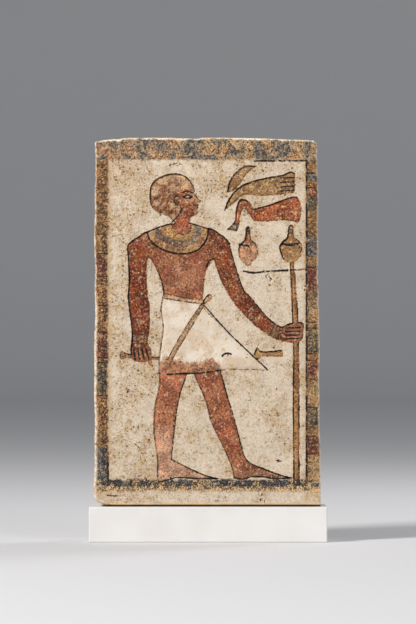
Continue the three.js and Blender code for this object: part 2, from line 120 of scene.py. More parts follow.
# Uneven values over the face: a base, then noises, each as its amount, the size of its bumps and its seed
UNEVEN_DEPTH = (0.84, (0.22, 21, 41), (0.1, 6, 42))
UNEVEN_INK_AND_SHADE = (1.45, (0.6, 8, 43), (0.35, 2.6, 45))
INK_FADING = (0.72, (0.5, 23, 46))
LAYER_INK = (0.76, (0.25, 9, 47))
UNEVEN_WIDTH = (1, (0.25, 7, 44))
PATCHES = (0, (0.5, 11, 51), (0.3, 4, 52))
HAIR_MOTTLE = (0, (1, 9, 54), (0.6, 3.5, 55))
# The contours' painted shade lies at this place too, along with their ink
INK_AND_SHADE_MIDDLE = 0.5  # a contour's ink lies this far inside the outline

# Mesh of the slab: square cells, halved up to three times near the carving, where a limit is passed
FACE_WAVE = 0.12
DRESSING = 0.35
CELL = 0.85
CELL_LEVELS = (8, 4, 2, 1)
CARVED_LIMITS = (12, 5.3, 1.75, 0)
RIM_LEVEL = 2  # size of the cells along the rim
HIDDEN_DEPTH = 4  # a contour this far inside another shape needs no fine cells
LINE_NEAR = 0.3
SNAP = 0.36
SNAP_GAP = 3
OUTLINE_STEP = 1.5
REACH = 14  # millimetres around a shape in which its distance is worked out
BATCH = 4000  # points whose distances are worked out at a time
NOISE_TABLE = 64

# Colours, linear
CREAM = (0.72, 0.59, 0.44)
SKIN = (0.28, 0.075, 0.034)
DEEP_SKIN = (0.165, 0.034, 0.012)
LEG_SKIN = (0.43, 0.155, 0.085)
PALE_SKIN = (0.42, 0.20, 0.12)
HAIR = (0.19, 0.08, 0.04)
FADED_SKIN = (0.57, 0.365, 0.25)
FADED_HEAD = (0.60, 0.41, 0.245)
OCHRE = (0.40, 0.24, 0.10)
OLIVE = (0.33, 0.20, 0.085)
FLESH_RED = (0.34, 0.095, 0.038)
BLUE_GREY = (0.095, 0.10, 0.10)
JAR_PINK = (0.46, 0.25, 0.15)
JAR_RED = (0.24, 0.055, 0.028)
STAFF_BROWN = (0.34, 0.175, 0.062)
WRIST_BAND = (0.17, 0.115, 0.07)
FOOT_BROWN = (0.17, 0.085, 0.04)
BELT_BEIGE = (0.60, 0.43, 0.25)
SASH_BEIGE = (0.47, 0.32, 0.175)
HOOF = (0.10, 0.085, 0.08)
STOPPER = (0.07, 0.055, 0.05)
KILT_WHITE = (0.95, 0.87, 0.74)
KILT_WASH = (0.40, 0.19, 0.10)
BORDER_RED = (0.135, 0.036, 0.022)
BORDER_GREY = (0.085, 0.066, 0.044)
BORDER_PALE = (0.33, 0.205, 0.098)
BORDER_OCHRE = (0.225, 0.108, 0.038)
BAND_GREY = (0.135, 0.122, 0.103)
BAND_PALE = (0.44, 0.31, 0.185)
BAND_OCHRE = (0.30, 0.175, 0.08)
BAND_BROWN = (0.225, 0.11, 0.06)
GROUND_BLACK = (0.042, 0.050, 0.062)
GROUND_OCHRE = (0.50, 0.33, 0.16)
SOOT = (0.020, 0.018, 0.019)
STONE = (0.755, 0.66, 0.53)
VEIN_BROWN = (0.17, 0.085, 0.04)
PIT_DARK = (0.06, 0.03, 0.017)
PAINT_PIT = (0.05, 0.025, 0.018)
WHITE_PAINT = (0.76, 0.665, 0.545)
BARE_GOLD = (0.64, 0.39, 0.17)
# Pale stone of worn arrises and chips, also used for the painted highlight on the top arris and the painted
# reflection above the foot
PALE_WEAR_AND_HIGHLIGHT = (0.86, 0.79, 0.67)
TAN_WEAR_AND_HIGHLIGHT = (0.66, 0.47, 0.27)
# Ink of the lines and contours, also used for the contours' painted shade
FAINT_INK_AND_SHADE = (0.13, 0.06, 0.028)
INK_AND_SHADE_BLACK = (0.014, 0.011, 0.010)
# Painted reflection: golden light bounced up from the white plinth onto the slab's lowest arris
FOOT_BOUNCE_GOLD = (0.80, 0.53, 0.235)
# Painted shade: near-black for the gap under the slab's foot
GAP_SHADE_BLACK = (0.016, 0.012, 0.010)
PLINTH_WHITE = (0.765, 0.742, 0.715)
PLINTH_PALE = (0.81, 0.795, 0.772)
PLINTH_DUST = (0.6, 0.56, 0.5)
FLOOR_GREY = (0.70, 0.70, 0.71, 1)
SKY_GREY = (0.62, 0.64, 0.68, 1)


def on_grid(points):
    """Grid squares to millimetres on the face: across, and height above the floor."""
    grid = np.asarray(points, float)
    return np.column_stack([SLAB_SHIFT + grid[:, 0] * SQUARE, GROUND_LINE + grid[:, 1] * SQUARE])


def spline_span(before, start, end, after, steps):
    """Centripetal Catmull-Rom points from start up to, but not including, end."""
    knots = [0.0]
    for a, b in ((before, start), (start, end), (end, after)):
        knots.append(knots[-1] + max(np.linalg.norm(b - a), 1e-6) ** 0.5)
    t = np.linspace(knots[1], knots[2], steps, endpoint=False)[:, None]

    def blend(a, b, ta, tb):
        return ((tb - t) * a + (t - ta) * b) / (tb - ta)

    a1 = blend(before, start, knots[0], knots[1])
    a2 = blend(start, end, knots[1], knots[2])
    a3 = blend(end, after, knots[2], knots[3])
    b1 = blend(a1, a2, knots[0], knots[2])
    b2 = blend(a2, a3, knots[1], knots[3])
    return blend(b1, b2, knots[1], knots[2])


def smooth_run(points, closed=False):
    """A smooth line through the points, without its last point."""
    count = len(points)
    run = []
    for i in range(count if closed else count - 1):
        start = points[i]
        end = points[(i + 1) % count]
        before = points[i - 1] if closed or i > 0 else 2 * start - end
        after = points[(i + 2) % count] if closed or i + 2 < count else 2 * end - start
        steps = max(1, math.ceil(np.linalg.norm(end - start) / OUTLINE_STEP))
        run.append(spline_span(before, start, end, after, steps))
    return np.concatenate(run)


def outline_of(*runs):
    """A closed outline of smooth runs. Each run ends in a corner, where the next one starts."""
    if len(runs) == 1:
        return smooth_run(on_grid(runs[0]), closed=True)
    parts = []
    for i, run in enumerate(runs):
        following = runs[(i + 1) % len(runs)]
        parts.append(smooth_run(on_grid([*run, following[0]])))
    return np.concatenate(parts)


def line_of(points):
    ends = on_grid(points)
    return np.concatenate([smooth_run(ends), ends[-1:]])


def fan_of_lines(count, first_ends, last_ends):
    """Straight cuts between two points, spread evenly from one pair of ends to another."""
    first = np.asarray(first_ends, float)
    last = np.asarray(last_ends, float)
    shares = np.linspace(0, 1, count)
    return [first + (last - first) * share for share in shares]


# Standing man. The face is a plain one on thirds: hairline to brow, brow to nostril, nostril to chin.
HEAD = outline_of(
    [(-2.12, 15.35)],
    [(-2.04, 15.97), (-2.43, 16.29), (-3.11, 16.58), (-3.49, 16.99), (-3.56, 17.64), (-3.45, 18.29),
     (-2.93, 18.74), (-2.12, 18.96), (-1.38, 18.8), (-0.98, 18.38), (-0.78, 17.92), (-0.78, 17.72),
     (-0.56, 17.41), (-0.38, 17.25), (-0.44, 17.15)],
    [(-0.58, 17.12), (-0.5, 17)],
    [(-0.61, 16.92), (-0.53, 16.82), (-0.65, 16.71), (-0.57, 16.56), (-0.71, 16.39), (-1.06, 16.23),
     (-1.07, 15.97)],
    [(-0.98, 15.35)],
)
HAIR_AREA = outline_of(
    [(-2.0, 15.9), (-2.43, 16.2), (-3.2, 16.5), (-3.6, 16.99), (-3.7, 17.64), (-3.55, 18.35), (-2.95, 18.85),
     (-2.12, 19.1), (-1.38, 18.9), (-1.02, 18.5)],
    [(-1.3, 18.36), (-1.55, 18.05), (-1.68, 17.7), (-1.62, 17.35), (-1.75, 17.0), (-1.6, 16.7)],
    [(-1.75, 16.42)],
)
TORSO = outline_of(
    [(-2.25, 15.87), (-2.74, 15.74), (-3.67, 15.37), (-4.1, 14.85), (-3.98, 14.23)],
    [(-3.58, 13.8), (-3.16, 13.09), (-2.85, 12.25), (-2.72, 11.57)],
    [(-2.74, 10.89)],
    [(-0.33, 10.77), (-0.26, 11.26), (-0.17, 12.19), (-0.05, 12.96)],
    [(0.38, 13.64), (0.91, 14.36), (0.78, 15.1), (0.07, 15.55), (-0.58, 15.75)],
    [(-1.01, 15.89)],
)
BACK_ARM = outline_of(
    [(-3.18, 15.1), (-3.61, 15.39), (-4.35, 15), (-4.92, 14.54), (-4.92, 13.86), (-4.84, 12.5),
     (-4.91, 11.26), (-4.75, 9.96), (-4.66, 8.85), (-4.74, 8.04), (-4.65, 7.44), (-4.1, 7.25),
     (-3.53, 7.39), (-3.44, 7.92),
     (-3.67, 8.51), (-3.56, 9.34), (-3.57, 10.52), (-3.7, 11.76), (-3.71, 13.49)],
    [(-3.58, 13.82)],
    [(-3.18, 14.36)],
)
BACK_THUMB = outline_of(
    [(-3.73, 7.43), (-3.58, 7.12)],
    [(-3.29, 6.91), (-3.39, 7.18)],
    [(-3.49, 7.52)],
)
FRONT_ARM = outline_of(
    [(-0.45, 14.85), (0.07, 15.55), (0.85, 15.17), (1.34, 14.68), (1.56, 13.86), (1.96, 12.56), (2.25, 11.79),
     (2.64, 11.35), (3.63, 10.17), (4.13, 9.72), (4.56, 9.48), (5.12, 9.68), (5.91, 9.7), (5.93, 9.03),
     (5.77, 8.58), (5.24, 8.46), (4.22, 8.74), (3.01, 9.51), (1.77, 10.81), (0.97, 12.07)],
    [(0.39, 13.65)],
    [(-0.08, 14.23)],
)
BACK_LEG = outline_of(
    [(-3.01, 7.3), (-3.01, 5.88), (-3.29, 4.39), (-3.34, 3.09), (-3.11, 1.24), (-3.1, 0.19)],
    [(-3.03, -0.19)],
    [(-2.32, -0.08), (-2.27, 0.11), (-2.06, 0.19), (-0.58, 0.03)],
    [(0.85, 0.04), (-0.14, 0.29), (-1.26, 0.8)],
    [(-2.19, 1.26), (-2.15, 1.86), (-2.02, 3.09), (-1.88, 4.27), (-1.63, 5.48), (-1.26, 6.56)],
    [(-1.2, 7.3)],
)
FRONT_LEG = outline_of(
    [(-0.95, 7.3), (-0.81, 6.54), (-0.14, 4.95), (0.24, 3.59), (0.91, 2.17), (1.46, 0.9), (1.69, 0.11),
     (2.02, 0.01), (2.39, 0.01), (2.76, 0.17), (3.38, 0.16), (4.13, 0.02)],
    [(5.32, 0.09), (4.5, 0.32), (3.51, 0.68), (2.49, 1.19), (2.18, 1.92), (1.74, 3.59), (1.22, 5.29),
     (0.86, 6.75)],
    [(0.78, 7.3)],
)

# Dress
KILT = outline_of(
    [(-2.72, 11.54), (-2.9, 10.58), (-2.77, 9.53), (-2.9, 8.29), (-3.01, 7.43)],
    [(-3.01, 6.47), (-2, 6.5), (-0.64, 6.57), (0.85, 6.76), (2.33, 6.83)],
    [(3.79, 6.75), (2.95, 7.55), (1.16, 9.28), (-0.27, 10.8)],
    [(-0.22, 11.11), (-1.38, 11.26), (-2.19, 11.41)],
)
BELT = outline_of(
    [(-2.72, 11.55), (-2, 11.39), (-1.07, 11.21)],
    [(-0.22, 11.12)],
    [(-0.19, 10.89), (-1.07, 10.98), (-2, 11.12)],
    [(-2.79, 11.26)],
)
KNOT = outline_of(
    [(-0.36, 10.92), (-0.18, 11.2), (0.02, 11.44), (0.18, 11.49), (0.31, 11.36), (0.26, 11.15),
     (0.05, 10.99)],
    [(-0.22, 10.84)],
)
SASH = outline_of(
    [(-0.39, 10.86), (-1.07, 9.87), (-1.85, 8.6)],
    [(-2.53, 7.3)],
    [(-2.32, 7.18), (-1.57, 8.48), (-0.76, 9.84)],
    [(-0.21, 10.77)],
)
COLLAR_EDGE = [
    (-3.73, 15.35), (-3.57, 14.89), (-3.11, 14.45), (-2.31, 14.09), (-1.38, 13.99), (-0.58, 14.24),
    (-0.06, 14.85), (0.08, 15.54),
]
COLLAR_OUTER = 10.5  # width of the collar's ochre band, in millimetres, and where its blue-grey one ends
COLLAR_INNER = 20.5
COLLAR = outline_of(
    COLLAR_EDGE[:-1],
    COLLAR_EDGE[-1:],
    [(-0.99, 15.89), (-1.05, 15.43), (-1.51, 15.18), (-2.03, 15.41)],
    [(-2.25, 15.86)],
)

# What the man holds
STAFF = outline_of(
    [(5.1, 13.49)],
    [(5.36, 13.49), (5.54, 11.39), (5.67, 8.35), (5.69, 4.95)],
    [(5.71, -0.31)],
    [(5.33, -0.31), (5.3, 4.95), (5.31, 8.35), (5.2, 11.39)],
)
SCEPTRE_END = outline_of(
    [(-4.5, 7.5), (-5.03, 7.51), (-5.31, 7.43), (-5.43, 7.67), (-5.31, 7.95), (-5.03, 7.82)],
    [(-4.5, 7.74)],
)
SCEPTRE_BLADE = outline_of(
    [(3.09, 8.23), (3.32, 7.97), (3.88, 7.96)],
    [(4.67, 8.03)],
    [(4.72, 7.59), (3.88, 7.6), (3.36, 7.61)],
    [(3.16, 7.45), (2.91, 7.75)],
)
SCEPTRE_SHAFT = outline_of([(-3.6, 7.61)], [(-2.9, 7.6)], [(-2.9, 7.4)], [(-3.6, 7.41)])

# Offerings
LEAF = outline_of(
    [(1.23, 17.8), (1.37, 18.44), (1.77, 19.03), (2.39, 19.44)],
    [(3.05, 19.41), (2.55, 19.01), (2.08, 18.35), (1.69, 17.93)],
)
BUNDLE = outline_of(
    [(1.04, 16.65), (1.34, 17.38), (1.84, 18.01), (2.64, 18.43), (3.75, 18.71), (4.74, 18.9), (5.15, 19.07)],
    [(5.46, 18.94)],
    [(5.4, 17.75), (4.56, 17.65), (3.38, 17.56), (2.21, 17.59), (1.65, 17.13)],
)
FORELEG = outline_of(
    [(2.86, 16.76), (3.88, 17.04), (5.52, 17.52), (5.77, 17.17), (5.85, 16.65)],
    [(5.69, 15.94), (4.81, 16.05), (2.93, 16.03), (2.59, 16.47), (2.26, 16.81), (2.06, 16.27), (2, 15.84)],
    [(1.84, 15.37)],
    [(1.2, 15.47), (1.68, 15.99), (1.81, 16.86), (2.06, 17.35), (2.53, 17.25)],
)


# Shares of a jar's height above its foot, and of its belly's width there
JAR_FOOT = 0.08
JAR_PROFILE = [(0.22, 0.84), (0.42, 1), (0.56, 0.78), (0.67, 0.36), (0.8, 0.26), (0.94, 0.22)]


def jar_outline(middle, foot, top, belly, foot_share):
    profile = [(JAR_FOOT, foot_share), *JAR_PROFILE]
    right = [(middle + share * belly / 2, foot + height * (top - foot)) for height, share in profile]
    left = [(2 * middle - x, z) for x, z in reversed(right)]
    return outline_of([(middle, foot), *right, (middle, top), *left])


SLIM_JAR = jar_outline(middle=2.53, foot=13.19, top=15.7, belly=1.24, foot_share=0.36)
ROUND_JAR = jar_outline(middle=5.18, foot=13.4, top=15.78, belly=1.42, foot_share=0.62)

# Sunk shapes, each with its crown's depth below the face, its paint, and how much of the paint is left
SHAPES = {
    "head": (HEAD, SKIN_CROWN, SKIN, 0.92),
    "torso": (TORSO, SKIN_CROWN, SKIN, 0.96),
    "back_leg": (BACK_LEG, LEG_CROWN, SKIN, 0.78),
    "front_leg": (FRONT_LEG, LEG_CROWN, SKIN, 0.72),
    "kilt": (KILT, HIGH_CROWN, KILT_WHITE, 0.55),
    "knot": (KNOT, FLUSH, SASH_BEIGE, 0.6),
    "sceptre_end": (SCEPTRE_END, SKIN_CROWN, OLIVE, 0.85),
    "sceptre_blade": (SCEPTRE_BLADE, SKIN_CROWN, OCHRE, 0.75),
    "sceptre_shaft": (SCEPTRE_SHAFT, SKIN_CROWN, OCHRE, 0.7),
    "leaf": (LEAF, SKIN_CROWN, OLIVE, 0.68),
    "bundle": (BUNDLE, HIGH_CROWN, OLIVE, 0.68),
    "foreleg": (FORELEG, HIGH_CROWN, FLESH_RED, 0.7),
    "slim_jar": (SLIM_JAR, SKIN_CROWN, JAR_PINK, 0.68),
    "round_jar": (ROUND_JAR, SKIN_CROWN, OCHRE, 0.74),
    "staff": (STAFF, SKIN_CROWN, STAFF_BROWN, 0.92),
    "back_arm": (BACK_ARM, HIGH_CROWN, SKIN, 0.96),
    "back_thumb": (BACK_THUMB, SKIN_CROWN, SKIN, 0.7),
    "front_arm": (FRONT_ARM, HIGH_CROWN, SKIN, 0.94),
}
LINE_WEIGHTS = {
    "kilt": 0.5, "staff": 1.35, "back_leg": 0.95, "front_leg": 1.1, "leaf": 0.85, "sceptre_shaft": 0.8,
}

# The side of a contour that takes the most ink and painted shade, as a direction across and up: there the
# sunk wall faces away from the light from the upper left
SHADED_WALL_SIDE = (-0.5, 0.8)
# Shapes with their own side for the contour's ink and painted shade
SHADED_WALL_SIDES = {
    "back_leg": (0.75, 0.35), "front_leg": (0.25, 0.6), "front_arm": (0.35, 0.75), "staff": (0, 0.1),
}

# Thin layers over the shapes
LAYERS = [
    (BELT, FLUSH, BELT_BEIGE, 0.6),
    (SASH, FLUSH, SASH_BEIGE, 0.75),
    (COLLAR, FLUSH, OCHRE, 0.85),
]

# Incised lines: points, width, depth, and how dark the paint in them is
HEAD_LINES = [
    [(-2.17, 15.95), (-1.75, 16.42), (-1.57, 16.79)],
    [(-1.49, 17.52), (-1.2, 17.63), (-0.95, 17.5)],
    [(-1.49, 17.52), (-1.22, 17.42), (-0.95, 17.5)],
    [(-1.56, 17.78), (-1.22, 17.88), (-0.9, 17.74)],
    [(-0.84, 16.9), (-0.62, 16.93)],
    [(-1.86, 17.6), (-2.05, 17.42), (-1.98, 17.1), (-1.78, 16.99)],
]
BODY_LINES = [[(0.38, 13.65), (0.1, 13.51), (-0.05, 13.18)], COLLAR_EDGE]
COLLAR_LINES = [
    [(-2.25, 15.6), (-1.97, 15.05), (-1.48, 14.81), (-0.98, 15.02), (-0.62, 15.6)],
    [(-2.95, 15.5), (-2.6, 14.85), (-1.95, 14.42), (-1.4, 14.36), (-0.8, 14.6), (-0.35, 15.3)],
]
FINGER_LINES = [
    *fan_of_lines(4, [(-4.55, 8.1), (-4.47, 7.45)], [(-3.8, 8.1), (-3.62, 7.5)]),
    *fan_of_lines(4, [(4.85, 9.4), (5.8, 9.42)], [(4.8, 8.72), (5.65, 8.75)]),
]
BRACELET_LINES = [
    *fan_of_lines(2, [(-4.62, 8.98), (-3.72, 8.98)], [(-4.66, 8.42), (-3.74, 8.42)]),
    *fan_of_lines(2, [(4.16, 9.66), (3.9, 8.98)], [(4.52, 9.44), (4.38, 8.76)]),
]
BRACELETS = [
    outline_of([(-4.62, 8.98)], [(-3.72, 8.98)], [(-3.74, 8.42)], [(-4.66, 8.42)]),
    outline_of([(4.16, 9.66)], [(4.52, 9.44)], [(4.38, 8.76)], [(3.9, 8.98)]),
]
BUNDLE_LINES = fan_of_lines(4, [(4.55, 18.68), (5.4, 18.72)], [(4.55, 17.88), (5.36, 17.93)])
JAR_BANDS = [
    [(2.0, 14.56), (2.53, 14.5), (3.06, 14.56)],
    [(4.62, 14.6), (5.18, 14.54), (5.72, 14.6)],
]
TOE_LINES = fan_of_lines(3, [(3.3, 0.46), (4.3, 0.26)], [(3.2, 0.24), (4.5, 0.12)])
HEM = [(-2.5, 6.52), (-1.6, 6.57), (-0.6, 6.6), (0.2, 6.68), (0.78, 6.78)]
HEM_TIP = [(0.85, 6.78), (2.2, 6.84), (3.7, 6.77)]
FRONT_EDGE = [(-0.2, 10.8), (1.16, 9.28), (2.95, 7.55), (3.75, 6.8)]
SHELF = [(2.24, 12.91), (2.76, 12.82), (3.75, 12.9), (4.74, 12.96), (6.11, 13.04)]
FRAME_LINES = [
    [(PANEL_EDGE, -0.2), (PANEL_EDGE, 19.75)],
    [(-PANEL_EDGE, -0.2), (-PANEL_EDGE, 1.6)],
    [(2.9, 19.75), (PANEL_EDGE, 19.75)],
]
CROSS_WIDTH = 0.62
RIGHT_CROSSES = [1.6, 2.7, 4.5, 6.2, 7.4, 7.8, 9.4, 9.75, 11.2, 13.15, 15.1, 16.7, 18.1, 19]
LEFT_CROSSES = [5.2, 7.25, 7.55, 9.15, 10.8, 12.6, 14]
CROSS_LINES = [
    *[[(PANEL_EDGE + 0.03, up), (PANEL_EDGE + CROSS_WIDTH, up)] for up in RIGHT_CROSSES],
    *[[(-PANEL_EDGE - 0.03, up), (-PANEL_EDGE - CROSS_WIDTH, up)] for up in LEFT_CROSSES],
]
STROKE_COUNT = 14
STROKE_LEVEL = 20.35


def signs():
    """A row of shallow strokes that spell nothing."""
    strokes = []
    for i, across in enumerate(np.linspace(-0.1, 5.8, STROKE_COUNT)):
        lean = 0.16 * math.sin(2.4 * i)
        half = 0.16 + 0.1 * math.cos(1.7 * i)
        strokes.append([(across - lean, STROKE_LEVEL - half), (across + lean, STROKE_LEVEL + half)])
    return strokes


SOLES = [
    [(-3.0, -0.12), (-2.4, 0.0), (-1.9, 0.14), (-0.6, 0.06), (0.6, 0.07)],
    [(1.62, 0.12), (2.1, 0.05), (2.7, 0.16), (3.4, 0.17), (4.2, 0.06), (5.1, 0.1)],
]
GOUGES = [
    [(0.93, 7.66), (1.06, 7.79), (1.24, 7.84), (1.46, 7.79)],
    [(-2.15, 19.53), (-1.72, 19.62)],
    [(3.62, 12.7), (3.85, 12.55), (4.0, 12.38)],
    [(-4.5, 2.25), (-4.2, 1.95)],
    [(-4.08, -0.12), (-3.77, 0.09)],
    [(-6.25, -0.98), (-5.35, -1.0)],
    [(4.25, 1.2), (4.6, 1.14)],
]
# Chips and pits in the face: place on the grid, radius and depth in millimetres
CHIPS = [
    (-1.9, 19.58, 3.6, 0.9), (-2.3, 19.5, 1.7, 0.7), (3.75, 12.62, 3.0, 0.8), (3.95, 12.38, 2.2, 0.8),
    (4.9, 11.7, 2.2, 0.9), (4.68, 8.48, 2.0, 0.8), (4.4, 1.18, 2.6, 0.7), (-4.25, 2.2, 3.2, 0.8),
    (-4.0, 1.75, 2.2, 0.7), (-3.92, -0.02, 3.0, 0.9), (1.22, 7.7, 2.2, 0.5), (2.45, 7.66, 2.2, 0.7),
    (3.25, -0.8, 3.6, 1.3), (3.4, -1.05, 3.2, 1.3), (3.2, -1.25, 2.6, 1.2), (3.6, -1.3, 2.4, 1.1),
    (5.95, 11.9, 3.4, 1.2), (-6.55, 10.5, 3.0, 1.2), (0.55, -1.3, 1.8, 0.6), (-1.7, -1.15, 1.6, 0.6),
    (-5.2, 12.6, 1.6, 0.6), (-4.75, 16.4, 1.5, 0.6), (1.9, 9.9, 1.4, 0.5), (2.6, 4.9, 1.5, 0.6),
    (-4.9, 5.5, 1.8, 0.6), (-4.4, 7.05, 1.4, 0.5), (0.1, 17.9, 1.4, 0.5), (4.2, 5.6, 1.3, 0.5),
]

LINES = [
    *[(line, 1.15 * LINE_WIDTH, LINE_DEPTH, 1.2) for line in HEAD_LINES],
    *[(line, 1.5 * LINE_WIDTH, LINE_DEPTH, 1.1) for line in BODY_LINES],
    *[(line, FINE_WIDTH, FINE_DEPTH, 0.5) for line in COLLAR_LINES],
    *[(line, 1.25 * LINE_WIDTH, LINE_DEPTH, 1.2) for line in FINGER_LINES],
    *[(line, LINE_WIDTH, LINE_DEPTH, 0.75) for line in BRACELET_LINES],
    *[(line, 1.1 * LINE_WIDTH, LINE_DEPTH, 1.05) for line in BUNDLE_LINES],
    *[(line, 2.2 * LINE_WIDTH, FINE_DEPTH, 0.9) for line in JAR_BANDS],
    *[(line, FINE_WIDTH, FINE_DEPTH, 0.8) for line in TOE_LINES],
    (HEM, 1.3 * LINE_WIDTH, LINE_DEPTH, 1.1),
    (FRONT_EDGE, LINE_WIDTH, FINE_DEPTH, 1.0),
    (SHELF, 1.6 * LINE_WIDTH, FINE_DEPTH, 0.9),
    (HEM_TIP, FINE_WIDTH, FINE_DEPTH, 0.6),
    *[(line, 1.9 * FINE_WIDTH, FINE_DEPTH, 0.92) for line in FRAME_LINES],
    *[(line, 1.2 * FINE_WIDTH, FINE_DEPTH, 0.9) for line in CROSS_LINES],
    *[(line, FINE_WIDTH, FINE_DEPTH, 0.75) for line in signs()],
    (GOUGES[0], 1.25 * LINE_WIDTH, LINE_DEPTH, 1.05),
    *[(line, 0.8 * LINE_WIDTH, LINE_DEPTH, 0.85) for line in GOUGES[1:]],
    *[(line, 1.35 * FINE_WIDTH, FINE_DEPTH, 1.05) for line in SOLES],
]


def smoothstep(low, high, value):
    t = np.clip((value - low) / (high - low), 0, 1)
    return t * t * (3 - 2 * t)


def noise(x, z, size, seed):
    """Smooth random values from -1 to 1, with bumps about as wide as size."""
    table = np.random.default_rng(seed).uniform(-1, 1, (NOISE_TABLE, NOISE_TABLE))
    u = x / size
    v = z / size
    i = np.floor(u).astype(int)
    k = np.floor(v).astype(int)
    fu = smoothstep(0, 1, u - i)
    fv = smoothstep(0, 1, v - k)

    def at(di, dk):
        return table[(i + di) % NOISE_TABLE, (k + dk) % NOISE_TABLE]

    low = at(0, 0) * (1 - fu) + at(1, 0) * fu
    high = at(0, 1) * (1 - fu) + at(1, 1) * fu
    return low * (1 - fv) + high * fv


def uneven(points, base, *bumps):
    """A base value with noises added, each as its amount, size and seed."""
    value = base
    for amount, size, seed in bumps:
        value = value + amount * noise(points[:, 0], points[:, 1], size, seed)
    return value


def bites(x, z, seed, size, level, height):
    """What stands over a level of a noise, scaled."""
    return np.clip(noise(x, z, size, seed) - level, 0, 1) * height


def batches(asked):
    return np.array_split(asked, max(1, len(asked) // BATCH))


def nearest(points, line, closed):
    """Distance to a line, the nearest point, the line's direction there, and the points in reach."""
    low = line.min(axis=0) - REACH
    high = line.max(axis=0) + REACH
    asked = np.flatnonzero(((points > low) & (points < high)).all(axis=1))
    distance = np.full(len(points), float(REACH))
    place = points.copy()
    along = np.zeros_like(points)
    starts = line if closed else line[:-1]
    ends = np.roll(line, -1, axis=0) if closed else line[1:]
    sides = ends - starts
    lengths = np.maximum((sides ** 2).sum(axis=1), 1e-9)
    for part in batches(asked):
        p = points[part][:, None, :]
        t = np.clip(((p - starts) * sides).sum(axis=2) / lengths, 0, 1)
        foot = starts + t[..., None] * sides
        squared = ((p - foot) ** 2).sum(axis=2)
        best = squared.argmin(axis=1)
        rows = np.arange(len(part))
        distance[part] = np.sqrt(squared[rows, best])
        place[part] = foot[rows, best]
        along[part] = sides[best] / np.sqrt(lengths[best])[:, None]
    return distance, place, along, asked


def inside(points, outline, asked):
    """Whether each asked point lies inside the outline, by counting crossings."""
    result = np.zeros(len(points), bool)
    starts = outline
    ends = np.roll(outline, -1, axis=0)
    for part in batches(asked):
        x = points[part, 0][:, None]
        z = points[part, 1][:, None]
        crosses = (starts[:, 1] > z) != (ends[:, 1] > z)
        rise = np.where(ends[:, 1] == starts[:, 1], 1, ends[:, 1] - starts[:, 1])
        at = starts[:, 0] + (z - starts[:, 1]) * (ends[:, 0] - starts[:, 0]) / rise
        result[part] = (crosses & (x < at)).sum(axis=1) % 2 == 1
    return result


def signed(points, outline):
    """Distance inside an outline, the nearest point of it, and the outward direction there."""
    distance, place, along, asked = nearest(points, outline, closed=True)
    within = inside(points, outline, asked)
    x, z = outline.T
    turning = 0.5 * np.sum(x * np.roll(z, -1) - np.roll(x, -1) * z)
    outward = np.column_stack([along[:, 1], -along[:, 0]]) * np.sign(turning)
    return np.where(within, distance, -distance), place, outward


def depth_in(points, outline):
    return signed(points, outline)[0]


def distance_to(points, line):
    return nearest(points, line_of(line), closed=False)[0]


def wander(t):
    return WEAR_WAVE * (np.sin(LONG_WAVE * t) + SHORT_SHARE * np.sin(SHORT_WAVE * t + 1))


def worn(t, seed):
    """How far an edge is knocked back, in small uneven bites."""
    return bites(t, t * 0, seed, **FINE_WEAR) + bites(t, t * 0, seed + 1, **BITES)


def quarter_round(share):
    """1 at share 0, and 0 at share 1, along a quarter of a circle."""
    return 1 - np.sqrt(1 - (1 - share) ** 2)


def left_edge(z):
    up = z - SLAB_FOOT
    return LEFT + LEFT_LEAN * up / SLAB_HEIGHT + wander(up + SLAB_HEIGHT) + worn(z, 11)


def right_edge(z):
    up = z - SLAB_FOOT
    return RIGHT - RIGHT_LEAN * up / SLAB_HEIGHT + wander(up) - worn(z, 21)


def top_edge(x):
    from_left = np.clip((x - LEFT) / DROOP_RUN, 0, 1)
    to_right = np.clip((x - SLAB_SHIFT) / (SLAB_WIDTH / 2), 0, None)
    near = np.clip((RIGHT - RIGHT_LEAN - x) / WORN_CORNER, 0, 1)
    corner = WORN_CORNER * quarter_round(near)
    sink = LEFT_DROOP * (1 - from_left) ** 2 + RIGHT_DROOP * to_right ** 2 + corner
    return SLAB_TOP - sink + TOP_SHARE * np.minimum(wander(x), 0) - worn(x, 31)


def foot_edge(x):
    return SLAB_FOOT + CHIP_HEIGHT * quarter_round(np.clip((x - LEFT) / CHIP_WIDTH, 0, 1))


def to_outline(points):
    """Moves a point of the full rectangle so that the rectangle's border lands on the worn outline."""
    x, z = points.T
    from_left = 1 - smoothstep(0, EDGE_FADE, x - LEFT)
    from_right = 1 - smoothstep(0, EDGE_FADE, RIGHT - x)
    from_foot = 1 - smoothstep(0, CHIP_FADE, z - SLAB_FOOT)
    from_top = 1 - smoothstep(0, TOP_FADE, SLAB_TOP - z)
    moved_x = x + (left_edge(z) - LEFT) * from_left + (right_edge(z) - RIGHT) * from_right
    moved_z = z + (foot_edge(x) - SLAB_FOOT) * from_foot + (top_edge(x) - SLAB_TOP) * from_top
    return np.column_stack([moved_x, moved_z])


def rim_distance(lattice):
    """Distance from the rectangle's border, before it was moved."""
    x, z = lattice.T
    return np.minimum.reduce([x - LEFT, RIGHT - x, z - SLAB_FOOT, SLAB_TOP - z])


